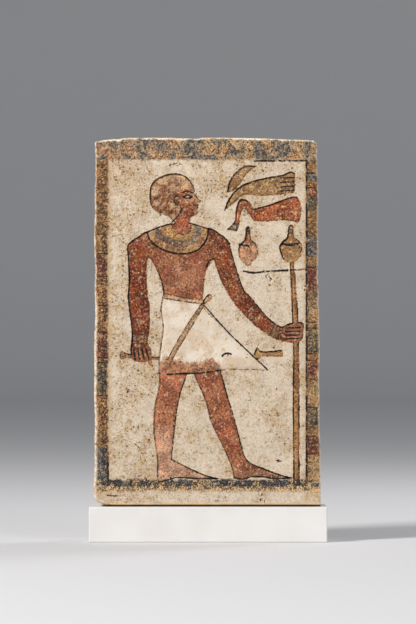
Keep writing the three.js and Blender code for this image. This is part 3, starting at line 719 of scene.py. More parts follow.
def cut_interest(points):
    """Distance to the nearest carved feature, for choosing the cells."""
    best = np.full(len(points), float(REACH))
    distances = np.stack([depth_in(points, outline) for outline, *_ in SHAPES.values()])
    deepest = np.sort(distances, axis=0)
    for name, distance in zip(SHAPES, distances):
        other = np.where(deepest[-1] == distance, deepest[-2], deepest[-1])
        hidden = (other > HIDDEN_DEPTH) & (name != "kilt")
        best = np.minimum(best, np.where(hidden, REACH, np.abs(distance - INK_AND_SHADE_MIDDLE)))
    for outline, *_ in LAYERS:
        best = np.minimum(best, np.abs(depth_in(points, outline)) + LINE_NEAR)
    for line, *_ in LINES:
        best = np.minimum(best, distance_to(points, line) + LINE_NEAR)
    for across, up, radius, _ in CHIPS:
        away = np.linalg.norm(points - on_grid([(across, up)])[0], axis=1)
        best = np.minimum(best, np.maximum(away - radius, LINE_NEAR))
    return best


def no_interest(points):
    return np.full(len(points), float(REACH))


def cells_of(width, height, interest):
    """Leaves of a quadtree on a rectangle as (column, row, size), counted in the smallest cells."""
    unit_x = SLAB_WIDTH / width
    unit_z = SLAB_HEIGHT / height
    top = CELL_LEVELS[0]
    columns, rows = np.meshgrid(np.arange(0, width, top), np.arange(0, height, top), indexing="ij")
    cells = np.column_stack([columns.ravel(), rows.ravel()])
    leaves = []
    for size, limit in zip(CELL_LEVELS, CARVED_LIMITS):
        middle_x = LEFT + (cells[:, 0] + size / 2) * unit_x
        middle_z = SLAB_FOOT + (cells[:, 1] + size / 2) * unit_z
        split = interest(np.column_stack([middle_x, middle_z])) < limit
        at_rim = (cells == 0).any(axis=1) | (cells + size == (width, height)).any(axis=1)
        split |= at_rim & (size > RIM_LEVEL)
        if size == 1:
            split[:] = False
        leaves.append(np.column_stack([cells[~split], np.full((~split).sum(), size)]))
        half = size // 2
        parents = cells[split]
        cells = np.concatenate([parents + offset for offset in ((0, 0), (half, 0), (0, half), (half, half))])
    return np.concatenate(leaves)


def lattice_mesh(interest):
    """Points, faces and rim of the rectangle's cells. Cells beside smaller ones are fans."""
    top = CELL_LEVELS[0]
    width = top * round(SLAB_WIDTH / CELL / top)
    height = top * round(SLAB_HEIGHT / CELL / top)
    leaves = cells_of(width, height, interest)
    stride = 2 * height + 3

    def key(column, row):
        return np.asarray(column) * stride + np.asarray(row)

    c, r, s = (2 * leaves).T  # doubled, so that a cell's middle is a whole number
    corners = np.stack([key(c, r), key(c + s, r), key(c + s, r + s), key(c, r + s)], axis=1)
    used = np.unique(corners)
    h = s // 2
    mids = np.stack([key(c + h, r), key(c + s, r + h), key(c + h, r + s), key(c, r + h)], axis=1)
    hanging = np.isin(mids, used) & (s[:, None] > 2)
    fans = hanging.any(axis=1)
    centres = key(c + h, r + h)[fans]
    keys = np.unique(np.concatenate([used, centres]))
    faces = [tuple(quad) for quad in np.searchsorted(keys, corners[~fans])]
    rings = np.searchsorted(keys, corners[fans])
    mid_ids = np.searchsorted(keys, np.where(hanging[fans], mids[fans], used[0]))
    for ring, mid, has, centre in zip(rings, mid_ids, hanging[fans], np.searchsorted(keys, centres)):
        loop = []
        for side in range(4):
            loop.append(ring[side])
            if has[side]:
                loop.append(mid[side])
        faces.extend((centre, loop[i], loop[(i + 1) % len(loop)]) for i in range(len(loop)))
    columns = keys // stride
    rows = keys % stride
    points = np.column_stack([
        LEFT + columns * SLAB_WIDTH / width / 2, SLAB_FOOT + rows * SLAB_HEIGHT / height / 2,
    ])
    step = 2 * RIM_LEVEL
    across = np.arange(0, 2 * width, step)
    up = np.arange(0, 2 * height, step)
    rim = np.concatenate([
        key(across, 0), key(2 * width, up), key((2 * width - across), 2 * height), key(0, (2 * height - up)),
    ])
    return points, faces, np.searchsorted(keys, rim)


def snap_to_contours(points, rim):
    """Moves points close to a contour, or to the foot of its wall, onto it."""
    shapes = [signed(points, outline) for outline, *_ in SHAPES.values()]
    stack = np.stack([distance for distance, *_ in shapes])
    moved = points.copy()
    done = np.zeros(len(points), bool)
    done[rim] = True
    for k, (distance, place, outward) in enumerate(shapes):
        others = np.delete(stack, k, axis=0).max(axis=0)
        open_here = (others < SNAP_GAP) & ~done
        for level in (0.0, WALL):
            close = open_here & (np.abs(distance - level) < SNAP)
            moved[close] = place[close] - outward[close] * level
            done |= close
    return moved


def relief(points):
    """Height over the face, paint, cover, dark lines and chips at points of the face."""
    paint = np.tile(CREAM, (len(points), 1))
    cover = np.zeros(len(points))
    shapes = {name: signed(points, outline) for name, (outline, *_) in SHAPES.items()}
    height = sink_shapes(points, shapes, paint, cover)
    contour = ink_and_shade_contours(points, shapes)
    dress(points, paint, cover, {name: distance > 0 for name, (distance, *_) in shapes.items()})
    for outline, crown, colour, left in LAYERS:
        distance = depth_in(points, outline)
        within = distance > 0
        step = smoothstep(0, LAYER_EDGE, distance)
        height = np.where(within, height + (np.maximum(height, -crown) - height) * step, height)
        paint[within] = colour
        cover[within] = left
        edge = 1 - smoothstep(0.3, 1.3, np.abs(distance))
        contour = np.maximum(contour, uneven(points, *LAYER_INK) * edge)
    colour_collar(points, paint)
    height, contour = cut_lines(points, height, contour)
    height, contour, chip = cut_chips(points, height, contour)
    return height, paint, cover, np.clip(contour, 0, 1), chip


def sink_shapes(points, shapes, paint, cover):
    """Sinks the shapes into the face, later ones over earlier ones, and paints them."""
    height = np.full(len(points), -np.inf)
    depth = CUT_DEPTH * uneven(points, *UNEVEN_DEPTH)
    for name, (_, crown, colour, left) in SHAPES.items():
        distance = shapes[name][0]
        within = distance > 0
        rise = np.clip((distance - WALL) / CROWN_WIDTH, 0, 1)
        body = -depth + (depth - crown) * (1 - (1 - rise) ** CROWN_POWER)
        wall = -depth * np.clip(distance / WALL, 0, 1)
        height = np.where(within, np.maximum(height, np.where(distance < WALL, wall, body)), height)
        paint[within] = colour
        cover[within] = left
    return np.where(np.isinf(height), 0, height)


def ink_and_shade_contours(points, shapes):
    """Ink along the shapes' contours, uneven, with painted shade on the side whose sunk wall faces away from
    the light, and none where another shape lies over it.
    """
    contour = np.zeros(len(points))
    distances = np.stack([distance for distance, *_ in shapes.values()])
    reach = uneven(points, *UNEVEN_INK_AND_SHADE)
    weak = uneven(points, *INK_FADING)
    for k, (name, (distance, _, outward)) in enumerate(shapes.items()):
        others = np.delete(distances, k, axis=0).max(axis=0)
        shown = 1 - smoothstep(0.8, 2.5, others)
        # Painted shade: contours whose outward side points towards the light are darkened more, as their sunk
        # walls lie in shade
        wall_shade = smoothstep(-0.35, 0.65, outward @ SHADED_WALL_SIDES.get(name, SHADED_WALL_SIDE))
        near = 1 - smoothstep(0.3, 1.2, np.abs(distance - INK_AND_SHADE_MIDDLE) / reach)
        weight = LINE_WEIGHTS.get(name, 1.0)
        contour = np.maximum(contour, weight * near * shown * (0.58 * weak + 0.6 * wall_shade))
    return contour


def cut_lines(points, height, contour):
    """Cuts the incised lines and inks them. Fainter ink than full is broken here and there."""
    wider = uneven(points, *UNEVEN_WIDTH)
    broken = 1 - 0.45 * smoothstep(0.1, 0.6, uneven(points, 0, (1, 4.5, 48)))
    for line, width, deep, dark in LINES:
        away = 2 * distance_to(points, line) / (width * wider)
        height = height - deep * smoothstep(0, 1, np.clip(1 - away, 0, 1))
        ink = smoothstep(0, 0.5, np.clip(1.3 - away, 0, 1))
        contour = np.maximum(contour, dark * (broken if dark < 1 else 1) * ink)
    return height, contour


def cut_chips(points, height, contour):
    """Knocks uneven oval chips out of the face, with dark dirt on parts of their rims."""
    chip = np.zeros(len(points))
    for i, (across, up, radius, deep) in enumerate(CHIPS):
        offset = points - on_grid([(across, up)])[0]
        turn = 0.7 * i
        along = offset[:, 0] * math.cos(turn) + offset[:, 1] * math.sin(turn)
        beside = offset[:, 1] * math.cos(turn) - offset[:, 0] * math.sin(turn)
        away = np.hypot(along, 1.5 * beside) / radius * uneven(points, 1, (0.4, 2.1, 140 + i))
        height = height - deep * (1 - smoothstep(0.35, 1, away))
        chip = np.maximum(chip, 1 - smoothstep(0.55, 0.9, away))
        rim = 1 - smoothstep(0.2, 0.65, np.abs(away - 1))
        dirty = smoothstep(-0.3, 0.3, uneven(points, 0, (1, 3, 170 + i)))
        contour = np.maximum(contour, 0.85 * rim * dirty)
    return height, contour, chip


def tint(paint, share, colour):
    paint += (np.array(colour) - paint) * np.clip(share, 0, 1)[:, None]


def dress(points, paint, cover, named):
    """Colours inside the shapes: hair, faded places, hoof, stoppers, and a wash over the kilt's hem."""
    across, up = ((points - on_grid([(0, 0)])[0]) / SQUARE).T
    rough = uneven(points, *PATCHES)
    jars = named["slim_jar"] | named["round_jar"]
    hair = smoothstep(-0.5, 1.5, depth_in(points, HAIR_AREA))
    mottle = smoothstep(-0.1, 0.2, uneven(points, *HAIR_MOTTLE))
    pale = smoothstep(-0.15, 0.35, 0.55 * (across + 2.1) + 0.8 * (up - 18.1) + 0.9 * rough) * named["head"]
    belly = smoothstep(3.2, 0.6, np.hypot(across + 1.3, 1.1 * (up - 12.3)) + 1.4 * rough)
    faded = smoothstep(4.0, 1.8, up + 1.2 * rough) * named["back_leg"]
    toes = smoothstep(1.4, 3.2, across) * smoothstep(0.8, 0.3, up) * named["front_leg"]
    washed = smoothstep(-3.1, -2.6, across) * smoothstep(1.1, 0.5, across)
    washed *= smoothstep(7.75, 7.1, up + 0.6 * rough) * named["kilt"]

    tint(paint, hair * named["head"], HAIR)
    tint(paint, 0.8 * mottle * hair * named["head"], FADED_HEAD)
    tint(paint, 0.75 * pale * (1 - smoothstep(18.3, 18.9, up) * 0.2), FADED_HEAD)
    tint(paint, 0.8 * (named["back_arm"] | named["front_arm"]), DEEP_SKIN)
    tint(paint, 0.4 * named["front_leg"] + 0.75 * (named["back_leg"] & ~named["front_leg"]), LEG_SKIN)
    tint(paint, 0.5 * belly * named["torso"], PALE_SKIN)
    tint(paint, 0.85 * faded, FADED_SKIN)
    tint(paint, 0.6 * smoothstep(4.4, 5.1, across + 0.4 * rough) * named["front_arm"], PALE_SKIN)
    tint(paint, 0.35 * smoothstep(8.3, 7.9, up + 0.4 * rough) * named["back_arm"], PALE_SKIN)
    tint(paint, 0.55 * smoothstep(1.5, 0.9, up + 0.5 * rough) * named["front_leg"], FOOT_BROWN)
    tint(paint, 0.35 * toes, FADED_SKIN)
    tint(paint, smoothstep(15.98, 15.88, up) * named["foreleg"], HOOF)
    tint(paint, smoothstep(15.15, 15.25, up) * jars, STOPPER)
    tint(paint, 0.45 * smoothstep(14.55, 14.75, up) * named["slim_jar"] * (up < 15.2), JAR_RED)
    tint(paint, washed, KILT_WASH)
    cover[named["kilt"]] = (0.72 + 0.1 * washed)[named["kilt"]]
    cover += 0.1 * rough * (cover > 0)


def colour_collar(points, paint):
    """The collar is ochre outside and blue-grey inside, with a thin ochre rim at the neck."""
    from_edge = distance_to(points, COLLAR_EDGE)
    within = depth_in(points, COLLAR) > 0
    blurred = uneven(points, from_edge, (1.2, 6, 53))
    inner = smoothstep(COLLAR_OUTER - 1, COLLAR_OUTER + 1, blurred)
    inner *= smoothstep(COLLAR_INNER + 1, COLLAR_INNER - 1, blurred)
    tint(paint, 0.85 * inner * within, BLUE_GREY)
    for outline in BRACELETS:
        tint(paint, 0.7 * smoothstep(-0.3, 0.6, depth_in(points, outline)), WRIST_BAND)


def arris_radius(lattice, seed):
    """The arris is about 2 mm round, with small bites, and worn wider low on the left."""
    x, z = lattice.T
    left_wear = smoothstep(*LEFT_WEAR_RUN, x - LEFT) * smoothstep(*LEFT_WEAR_TOP, z - SLAB_FOOT)
    radius = ARRIS * uneven(lattice, 1, (0.3, 5, seed + 1))
    return radius + bites(x, z, seed, **ARRIS_BITES) + LEFT_WEAR * left_wear


def arris_drop(lattice, seed):
    """How far the worn arris falls away from the face, and the gap under the foot."""
    radius = arris_radius(lattice, seed)
    short = np.clip(radius - rim_distance(lattice), 0, radius)
    drop = radius - np.sqrt(np.maximum(radius ** 2 - short ** 2, 0))
    gap = FOOT_GAP * (1 + 0.3 * noise(lattice[:, 0], lattice[:, 1] * 0, 13, 87))
    low = np.clip(1 - (lattice[:, 1] - SLAB_FOOT) / gap, 0, 1)
    return np.maximum(drop, FOOT_UNDERCUT * low ** 0.6)


def side_rings(front_rim, back_rim):
    """Rings of points between the rims of the front and the back, a little uneven as a dressed side is."""
    middle = np.array([SLAB_SHIFT, 0, SLAB_FOOT + SLAB_HEIGHT / 2])
    rings = []
    for share in np.linspace(0, 1, SIDE_RINGS + 2)[1:-1]:
        ring = front_rim + (back_rim - front_rim) * share
        along = ring[:, 0] + ring[:, 2]
        sink = SIDE_SINK * (0.5 + 0.5 * noise(along, ring[:, 1], 11, 61))
        sink = sink * smoothstep(0, 0.2, share) * smoothstep(0, 0.2, 1 - share)
        inward = np.sign(middle - ring)
        at_side = np.abs(ring[:, 0] - SLAB_SHIFT) > SLAB_WIDTH / 2 - 8
        at_top = ring[:, 2] > SLAB_TOP - 10
        ring[:, 0] += inward[:, 0] * sink * at_side
        ring[:, 2] += inward[:, 2] * sink * at_top
        rings.append(ring)
    return rings


def build_stele():
    """One closed slab: carved face, worn arrises, dressed sides and a plain back."""
    lattice, front_faces, rim = lattice_mesh(cut_interest)
    face = snap_to_contours(lattice, rim)
    height, paint, cover, contour, chip = relief(face)
    height = height + FACE_WAVE * noise(face[:, 0], face[:, 1], 34, 71) - FACE_WAVE
    x, z = to_outline(face).T
    front = np.column_stack([x, FACE_Y + np.maximum(arris_drop(face, 81), -height), z])
    edge = 1 - smoothstep(0.3, 1.1, rim_distance(lattice) / arris_radius(lattice, 81))
    above_gap = (lattice[:, 1] - SLAB_FOOT) / FOOT_GAP
    # Painted highlight: the pale wear of the arris is doubled along the top, where the light from above falls
    edge = edge * (1 + smoothstep(SLAB_TOP - 12, SLAB_TOP - 4, lattice[:, 1]))
    # Painted reflection: a pale line just above the foot's gap, for light bounced up from the white plinth
    edge = np.maximum(edge, smoothstep(0.8, 1.1, above_gap) * smoothstep(2.4, 1.7, above_gap))

    lattice, back_faces, back_rim = lattice_mesh(no_interest)
    dressing = DRESSING * uneven(lattice, 1, (1, 13, 91)) * smoothstep(0, 12, rim_distance(lattice))
    x, z = to_outline(lattice).T
    back = np.column_stack([x, BACK_Y - np.maximum(arris_drop(lattice, 85), dressing), z])
    back_edge = 1 - smoothstep(0.2, 2.4, rim_distance(lattice))

    points = np.concatenate([front, back, *side_rings(front[rim], back[back_rim])])
    points = np.clip(points, slab_low, slab_high)
    back_start = len(front)
    ring_start = back_start + len(back)
    count = len(rim)
    chain = [ring_start + k * count + np.arange(count) for k in range(SIDE_RINGS)]
    chain = [rim, *chain, back_start + back_rim]
    faces = list(front_faces)
    faces += [tuple(back_start + corner for corner in reversed(face)) for face in back_faces]
    for near, far in zip(chain, chain[1:]):
        faces += list(zip(near, far, np.roll(far, -1), np.roll(near, -1)))

    mesh = bpy.data.meshes.new("stele_stone")
    mesh.from_pydata((points * MM).tolist(), [], [[int(corner) for corner in face] for face in faces])
    mesh.validate()
    mesh.shade_smooth()
    rest = np.zeros(len(points) - len(front))
    values = {
        "cover": (cover, rest),
        # The contour attribute holds ink and the contours' painted shade
        "contour": (contour, rest),
        "carved_side": (1 - 0.6 * np.minimum(edge, 1), rest),
        "arris": (edge, back_edge, rest[len(back):]),
        "chip": (chip, rest),
        # Painted shade: the gap under the slab's foot is darkened to near-black
        "foot_gap_shade": (smoothstep(FOOT_GAP + 0.9, FOOT_GAP - 0.3, points[:, 2] - SLAB_FOOT),),
    }
    for name, parts in values.items():
        layer = mesh.attributes.new(name, "FLOAT", "POINT")
        layer.data.foreach_set("value", np.concatenate(parts).astype(np.float32))
    colours = np.ones((len(points), 4), np.float32)
    colours[:, :3] = np.concatenate([paint, np.tile(CREAM, (len(rest), 1))])
    layer = mesh.attributes.new("paint", "FLOAT_COLOR", "POINT")
    layer.data.foreach_set("color", colours.ravel())
    piece = add_object("carved_slab", mesh)
    mesh.materials.append(painted_limestone())
    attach(piece, "root")
    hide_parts("stele")


# Noises of the stone and its paint: width of the bumps in millimetres, detail, roughness, shift and warp
NOISES = {
    "broad": (45, 3),
    "stain": (17, 6, 0.62, 200, 0.6),
    "patch": (8, 5, 0.6, 400, 0.3),
    "tone": (26, 3, 0.5, 1200),
    "grain": (3.2, 4, 0.62, 600, 0.2),
    "dust": (1.6, 3, 0.6, 800),
    "fine": (0.7, 2, 0.6, 1000),
    "blot": (4.2, 5, 0.66, 1600, 0.5),
}
VEINS = (5, 3, 0.5, 1400, 0.8)
STREAKS = (4, 3, 0.5, 1800, 1.2)

# Coats over a colour: the new colour, how it is mixed in, and the ranges that say how much of it shows.
# A range is a noise with the values where it starts and ends, and the shares it gives at those,
# 0 and 1 where it names none.
STONE_COATS = [
    ((0.70, 0.595, 0.455), "MIX", ("broad", 0.40, 0.60)),
    ((0.64, 0.46, 0.25), "MIX", ("dirt", 0.50, 0.64, 0, 0.28)),
    ((0.59, 0.37, 0.155), "MIX", ("blot", 0.51, 0.60), ("dirty", 0, 1, 0.32, 0.85)),
    ((0.80, 0.72, 0.60), "MIX", ("patch", 0.46, 0.38, 0, 0.6)),
    ((0.44, 0.24, 0.09), "MIX", ("grain", 0.54, 0.60), ("dirty", 0, 1, 0.22, 0.78)),
    ((0.36, 0.205, 0.095), "MIX", ("dust", 0.57, 0.63, 0, 0.6), ("dirty", 0, 1, 0.5, 1)),
    (VEIN_BROWN, "MIX", ("vein", 0.022, 0.008), ("grain", 0.50, 0.56), ("dirty", 0, 1, 0.25, 0.95)),
]
STONE_SHADE = [((0.82, 0.79, 0.745), "MULTIPLY", ("dirt", 0.44, 0.62, 0.45, 0.8))]
PAINT_COATS = [
    ((0.60, 0.54, 0.54), "MULTIPLY", ("tone", 0.44, 0.56)),
    ((1.5, 1.35, 1.15), "MULTIPLY", ("stain", 0.47, 0.40, 0, 0.8)),
    ((0.42, 0.25, 0.18), "MIX", ("patch", 0.54, 0.61, 0, 0.5)),
    ((0.42, 0.17, 0.07), "MIX", ("patch", 0.44, 0.36, 0, 0.35)),
    ((0.42, 0.30, 0.27), "MULTIPLY", ("grain", 0.46, 0.40, 0, 0.8)),
    ((0.62, 0.34, 0.115), "MIX", ("streak", 0.024, 0.006, 0, 0.8), ("stain", 0.50, 0.56)),
    ((0.58, 0.31, 0.13), "MIX", ("grain", 0.59, 0.64, 0, 0.7)),
    ((0.62, 0.37, 0.17), "MIX", ("mottle", 0.59, 0.62, 0, 0.6)),
    ((0.055, 0.024, 0.016), "MIX", ("mottle", 0.42, 0.395, 0, 0.65)),
]
WHITE_COATS = [
    ((0.68, 0.575, 0.455), "MIX", ("tone", 0.42, 0.58)),
    ((0.58, 0.42, 0.26), "MIX", ("dirt", 0.48, 0.58, 0, 0.5)),
]
BLOCK_COATS = [
    ((0.16, 0.085, 0.035), "MIX", ("patch", 0.52, 0.60, 0, 0.55)),
    ((0.07, 0.05, 0.035), "MIX", ("grain", 0.55, 0.62, 0, 0.6)),
    ((0.38, 0.215, 0.09), "MIX", ("grain", 0.45, 0.38, 0, 0.45)),
]
BAND_COATS = [
    (BAND_GREY, "MIX", ("stain", 0.48, 0.53)),
    (BAND_PALE, "MIX", ("patch", 0.5, 0.56, 0, 0.6)),
]
BORDER_COATS = [
    ((1.45, 1.35, 1.2), "MULTIPLY", ("patch", 0.46, 0.40, 0, 0.5)),
    ((0.55, 0.55, 0.6), "MULTIPLY", ("stain", 0.51, 0.58, 0, 0.6)),
    ((1.4, 1.25, 1.1), "MULTIPLY", ("stain", 0.46, 0.40, 0, 0.6)),
]
BORDER_FLECKS = [((0.56, 0.37, 0.20), "MIX", ("mottle", 0.45, 0.42, 0, 0.45))]

# Blocks of colour up the borders: the square where each begins, and its colour
RIGHT_BANDS = [
    (-2, BORDER_GREY), (0, BORDER_PALE), (1.4, BORDER_OCHRE), (1.6, BORDER_RED), (2.7, BORDER_OCHRE),
    (3.15, BORDER_GREY), (4.5, BORDER_PALE), (6.05, BORDER_OCHRE), (6.3, BORDER_RED), (7.4, BORDER_OCHRE),
    (7.8, BORDER_GREY), (9.4, BORDER_OCHRE), (9.75, BORDER_PALE), (11.2, BORDER_GREY), (11.75, BORDER_RED),
    (13.15, BORDER_OCHRE), (13.75, BLUE_GREY), (15.1, BORDER_OCHRE), (16.55, BORDER_PALE),
    (16.7, BORDER_GREY), (17.5, BORDER_RED), (18.1, BORDER_OCHRE), (18.45, BLUE_GREY), (19, BORDER_OCHRE),
]
LEFT_BANDS = [
    (-2, BORDER_OCHRE), (0, BLUE_GREY), (1.95, BORDER_OCHRE), (5.2, BORDER_GREY), (7.25, BORDER_OCHRE),
    (7.55, BORDER_RED), (9.15, BORDER_OCHRE), (12.6, BORDER_RED), (14, BORDER_OCHRE),
]
BANDS_FOOT = -2
BANDS_TOP = 20.5
BLOCK_WOBBLE = 6.0  # how far the blocks' ends and the borders' edges waver, in millimetres
EDGE_WOBBLE = 11.0
BORDER_EDGE = 2.2
HAZE = 9  # an ochre haze inside the borders, this wide
SPECULAR = 0.25


class Tree:
    """A material's node tree, with one short call for each kind of node."""

    def __init__(self, name):
        self.material = bpy.data.materials.new(name)
        self.material.use_nodes = True
        self.nodes = self.material.node_tree.nodes
        self.links = self.material.node_tree.links
        self.shader = self.nodes["Principled BSDF"]
        place = self.node("TexCoord", "Object", {})
        self.place = self.node("VectorMath", 0, {0: place, "Scale": 1 / MM}, operation="SCALE")
        self.across = self.node("SeparateXYZ", "X", {0: self.place})
        self.height = self.node("SeparateXYZ", "Z", {0: self.place})
        self.fields = {}

    def feed(self, socket, value):
        if isinstance(value, bpy.types.NodeSocket):
            self.links.new(value, socket)
        elif socket.type == "RGBA" and len(value) == 3:
            socket.default_value = (*value, 1)
        else:
            socket.default_value = value

    def node(self, kind, output, inputs, **settings):
        """Adds a node with its settings and inputs, and returns one of its outputs."""
        node = self.nodes.new("ShaderNode" + kind)
        for name, value in settings.items():
            setattr(node, name, value)
        for name, value in inputs.items():
            self.feed(node.inputs[name], value)
        return node.outputs[output]

    def surface(self, **inputs):
        for name, value in inputs.items():
            self.feed(self.shader.inputs[name.replace("_", " ")], value)

    def math(self, operation, first, second=0.0, clamp=False):
        return self.node("Math", 0, {0: first, 1: second}, operation=operation, use_clamp=clamp)

    def times(self, *values):
        return reduce(lambda first, second: self.math("MULTIPLY", first, second), values)

    def plus(self, first, second):
        return self.math("ADD", first, second)

    def most(self, first, second):
        return self.math("MAXIMUM", first, second)

    def sum_of(self, first, share, second, other_share):
        return self.plus(self.times(first, share), self.times(second, other_share))

    def wobble(self, value, width):
        """A noise as a shift to both sides."""
        return self.times(self.math("SUBTRACT", value, 0.5), width)

    def ridge(self, settings):
        """A noise that is 0 along thin winding lines and more beside them."""
        return self.math("ABSOLUTE", self.math("SUBTRACT", self.noise(*settings), 0.5))

    def noise(self, size, detail=2.0, roughness=0.5, shift=0.0, warp=0.0):
        """Noise with bumps about as wide as size, in millimetres."""
        moved = self.node("VectorMath", 0, {0: self.place, 1: (shift,) * 3}, operation="ADD")
        return self.node("TexNoise", "Fac", {
            "Vector": moved, "Scale": 1 / size, "Detail": detail, "Roughness": roughness, "Distortion": warp,
        })

    def span(self, value, low, high, to_low=0.0, to_high=1.0):
        """Maps low..high to to_low..to_high, smoothly and held at both ends."""
        inputs = {"Value": value, "From Min": low, "From Max": high, "To Min": to_low, "To Max": to_high}
        return self.node("MapRange", "Result", inputs, interpolation_type="SMOOTHSTEP")

    def mix(self, factor, first, second, blend="MIX"):
        return self.node("Mix", 2, {0: factor, 6: first, 7: second}, data_type="RGBA", blend_type=blend)

    def coat(self, colour, coats):
        """Lays coats over a colour."""
        for new_colour, blend, *ranges in coats:
            share = self.times(*[self.span(self.fields[name], *limits) for name, *limits in ranges])
            colour = self.mix(share, colour, new_colour, blend)
        return colour

    def shade(self, colour, value, low, high, darkest, lightest):
        return self.mix(1.0, colour, self.span(value, low, high, darkest, lightest), "MULTIPLY")

    def attribute(self, name, output="Fac"):
        return self.node("Attribute", output, {}, attribute_name=name)

    def bands(self, value, low, high, stops):
        """Flat bands of colour. Each stop is the value where its band begins, and the colour."""
        share = self.math("DIVIDE", self.math("SUBTRACT", value, low), high - low)
        colour = self.node("ValToRGB", "Color", {"Fac": share})
        ramp = colour.node.color_ramp
        ramp.interpolation = "CONSTANT"
        while len(ramp.elements) < len(stops):
            ramp.elements.new(1.0)
        for element, (start, stop_colour) in zip(ramp.elements, stops):
            element.position = min(max((start - low) / (high - low), 0), 1)
            element.color = (*stop_colour, 1)
        return colour

    def pits(self, size, share, radius, rough):
        """Small uneven spots, one in some of the cells about as wide as size. The other cells stay empty."""
        moved = self.node("VectorMath", 0, {0: self.place, 1: (size,) * 3}, operation="ADD")
        place = self.node("VectorMath", 0, {0: moved, "Scale": 1 / size}, operation="SCALE")
        cell = self.node("TexVoronoi", "Color", {"Vector": place, "Scale": 1})
        reach = self.span(self.node("SeparateColor", 0, {0: cell}), share, 1, 0, radius)
        away = self.plus(cell.node.outputs["Distance"], self.wobble(rough, 0.7))
        return self.span(self.math("SUBTRACT", reach, away), -0.04, 0.04)

    def bumps(self, *layers):
        """Bumps on bumps, each as its height, strength and distance, ending in the shader's normal."""
        normal = {}
        for height, strength, distance in layers:
            inputs = {"Strength": strength, "Distance": distance, "Height": height, **normal}
            normal = {"Normal": self.node("Bump", "Normal", inputs)}
        self.surface(**normal)


def height_of(squares):
    return GROUND_LINE + squares * SQUARE


def painted_limestone():
    tree = Tree("painted_limestone")
    fields = tree.fields
    fields.update({name: tree.noise(*settings) for name, settings in NOISES.items()})
    patch, grain, dust, fine = [fields[name] for name in ("patch", "grain", "dust", "fine")]
    fields["mottle"] = tree.sum_of(grain, 0.45, dust, 0.55)
    fields["vein"] = tree.ridge(VEINS)
    fields["streak"] = tree.ridge(STREAKS)
    add_dirt(tree)
    pits = tree.pits(5.5, 0.55, 0.3, grain)
    small_pits = tree.pits(2.8, 0.62, 0.36, dust)
    pitted = tree.times(tree.most(pits, tree.times(small_pits, 0.9)),
                        tree.span(fields["dirty"], 0, 1, 0.25, 1))

    stone = tree.coat(STONE, STONE_COATS)
    stone = tree.mix(tree.times(pitted, 0.9), stone, PIT_DARK)
    stone = tree.shade(tree.coat(stone, STONE_SHADE), fine, 0.35, 0.65, 0.86, 1.12)
    loss = tree.span(tree.sum_of(grain, 0.9, patch, 0.9), 0.80, 1.16)
    cover = tree.attribute("cover")
    kept = tree.span(tree.math("SUBTRACT", cover, loss), -0.12, 0.08)
    bare = tree.mix(tree.span(cover, 0.02, 0.1, 0, 0.7), stone, BARE_GOLD)
    colour = tree.mix(kept, bare, figure_paint(tree, pits))

    from_middle = tree.math("ABSOLUTE", tree.math("SUBTRACT", tree.across, SLAB_SHIFT))
    haze = tree.times(tree.span(from_middle, PANEL_HALF - HAZE, PANEL_HALF, 0, 0.75),
                      tree.span(patch, 0.42, 0.58, 0.25, 1), tree.attribute("carved_side"))
    colour = tree.mix(haze, colour, GROUND_OCHRE)
    colour = tree.mix(border_mask(tree, loss), colour, border_colour(tree))
    colour = wear_light_and_ink(tree, colour)

    # Painted reflection: a golden band on the slab's foot, for light bounced up from the white plinth
    gap_top = SLAB_FOOT + FOOT_GAP
    foot_bounce = tree.times(tree.span(tree.height, SLAB_FOOT + 0.8 * FOOT_GAP, gap_top),
                        tree.span(tree.height, gap_top + 3.2, gap_top + 1.8),
                        tree.span(patch, 0.36, 0.52, 0.35, 0.95),
                        tree.math("GREATER_THAN", tree.attribute("carved_side"), 0.1))
    colour = tree.mix(foot_bounce, colour, FOOT_BOUNCE_GOLD)
    # Painted shade: the gap under the slab's foot is darkened to near-black
    colour = tree.mix(tree.times(tree.attribute("foot_gap_shade"), 0.95), colour, GAP_SHADE_BLACK)
    tree.surface(Base_Color=colour, Specular_IOR_Level=SPECULAR,
                 Roughness=tree.span(patch, 0.3, 0.7, 0.78, 0.95))
    tree.bumps((tree.math("SUBTRACT", 1, pitted), 0.7, 0.0008), (patch, 0.5, 0.0016), (grain, 0.5, 0.0008),
               (dust, 0.4, 0.0004))
    return tree.material


def add_dirt(tree):
    """Dirt gathers in stains, more of it at the left and at the top."""
    dirt = tree.sum_of(tree.fields["stain"], 0.6, tree.fields["broad"], 0.4)
    dirt = tree.plus(dirt, tree.span(tree.across, -60, -120, 0, 0.06))
    dirt = tree.plus(dirt, tree.span(tree.height, height_of(16.5), height_of(19), 0, 0.05))
    tree.fields["dirt"] = dirt
    tree.fields["dirty"] = tree.span(dirt, 0.43, 0.61)


def figure_paint(tree, pits):
    """Paint of the figures, which is a cleaner white where its green is as high as the kilt's."""
    dust, fine = tree.fields["dust"], tree.fields["fine"]
    base = tree.attribute("paint", "Color")
    paint = tree.coat(base, PAINT_COATS)
    paint = tree.mix(tree.times(pits, 0.6), paint, PAINT_PIT)
    paint = tree.shade(paint, dust, 0.40, 0.60, 0.76, 1.26)
    paint = tree.shade(paint, fine, 0.35, 0.65, 0.8, 1.2)
    white = tree.shade(tree.coat(WHITE_PAINT, WHITE_COATS), fine, 0.35, 0.65, 0.92, 1.06)
    return tree.mix(tree.span(tree.node("SeparateColor", 1, {0: base}), 0.45, 0.8), paint, white)


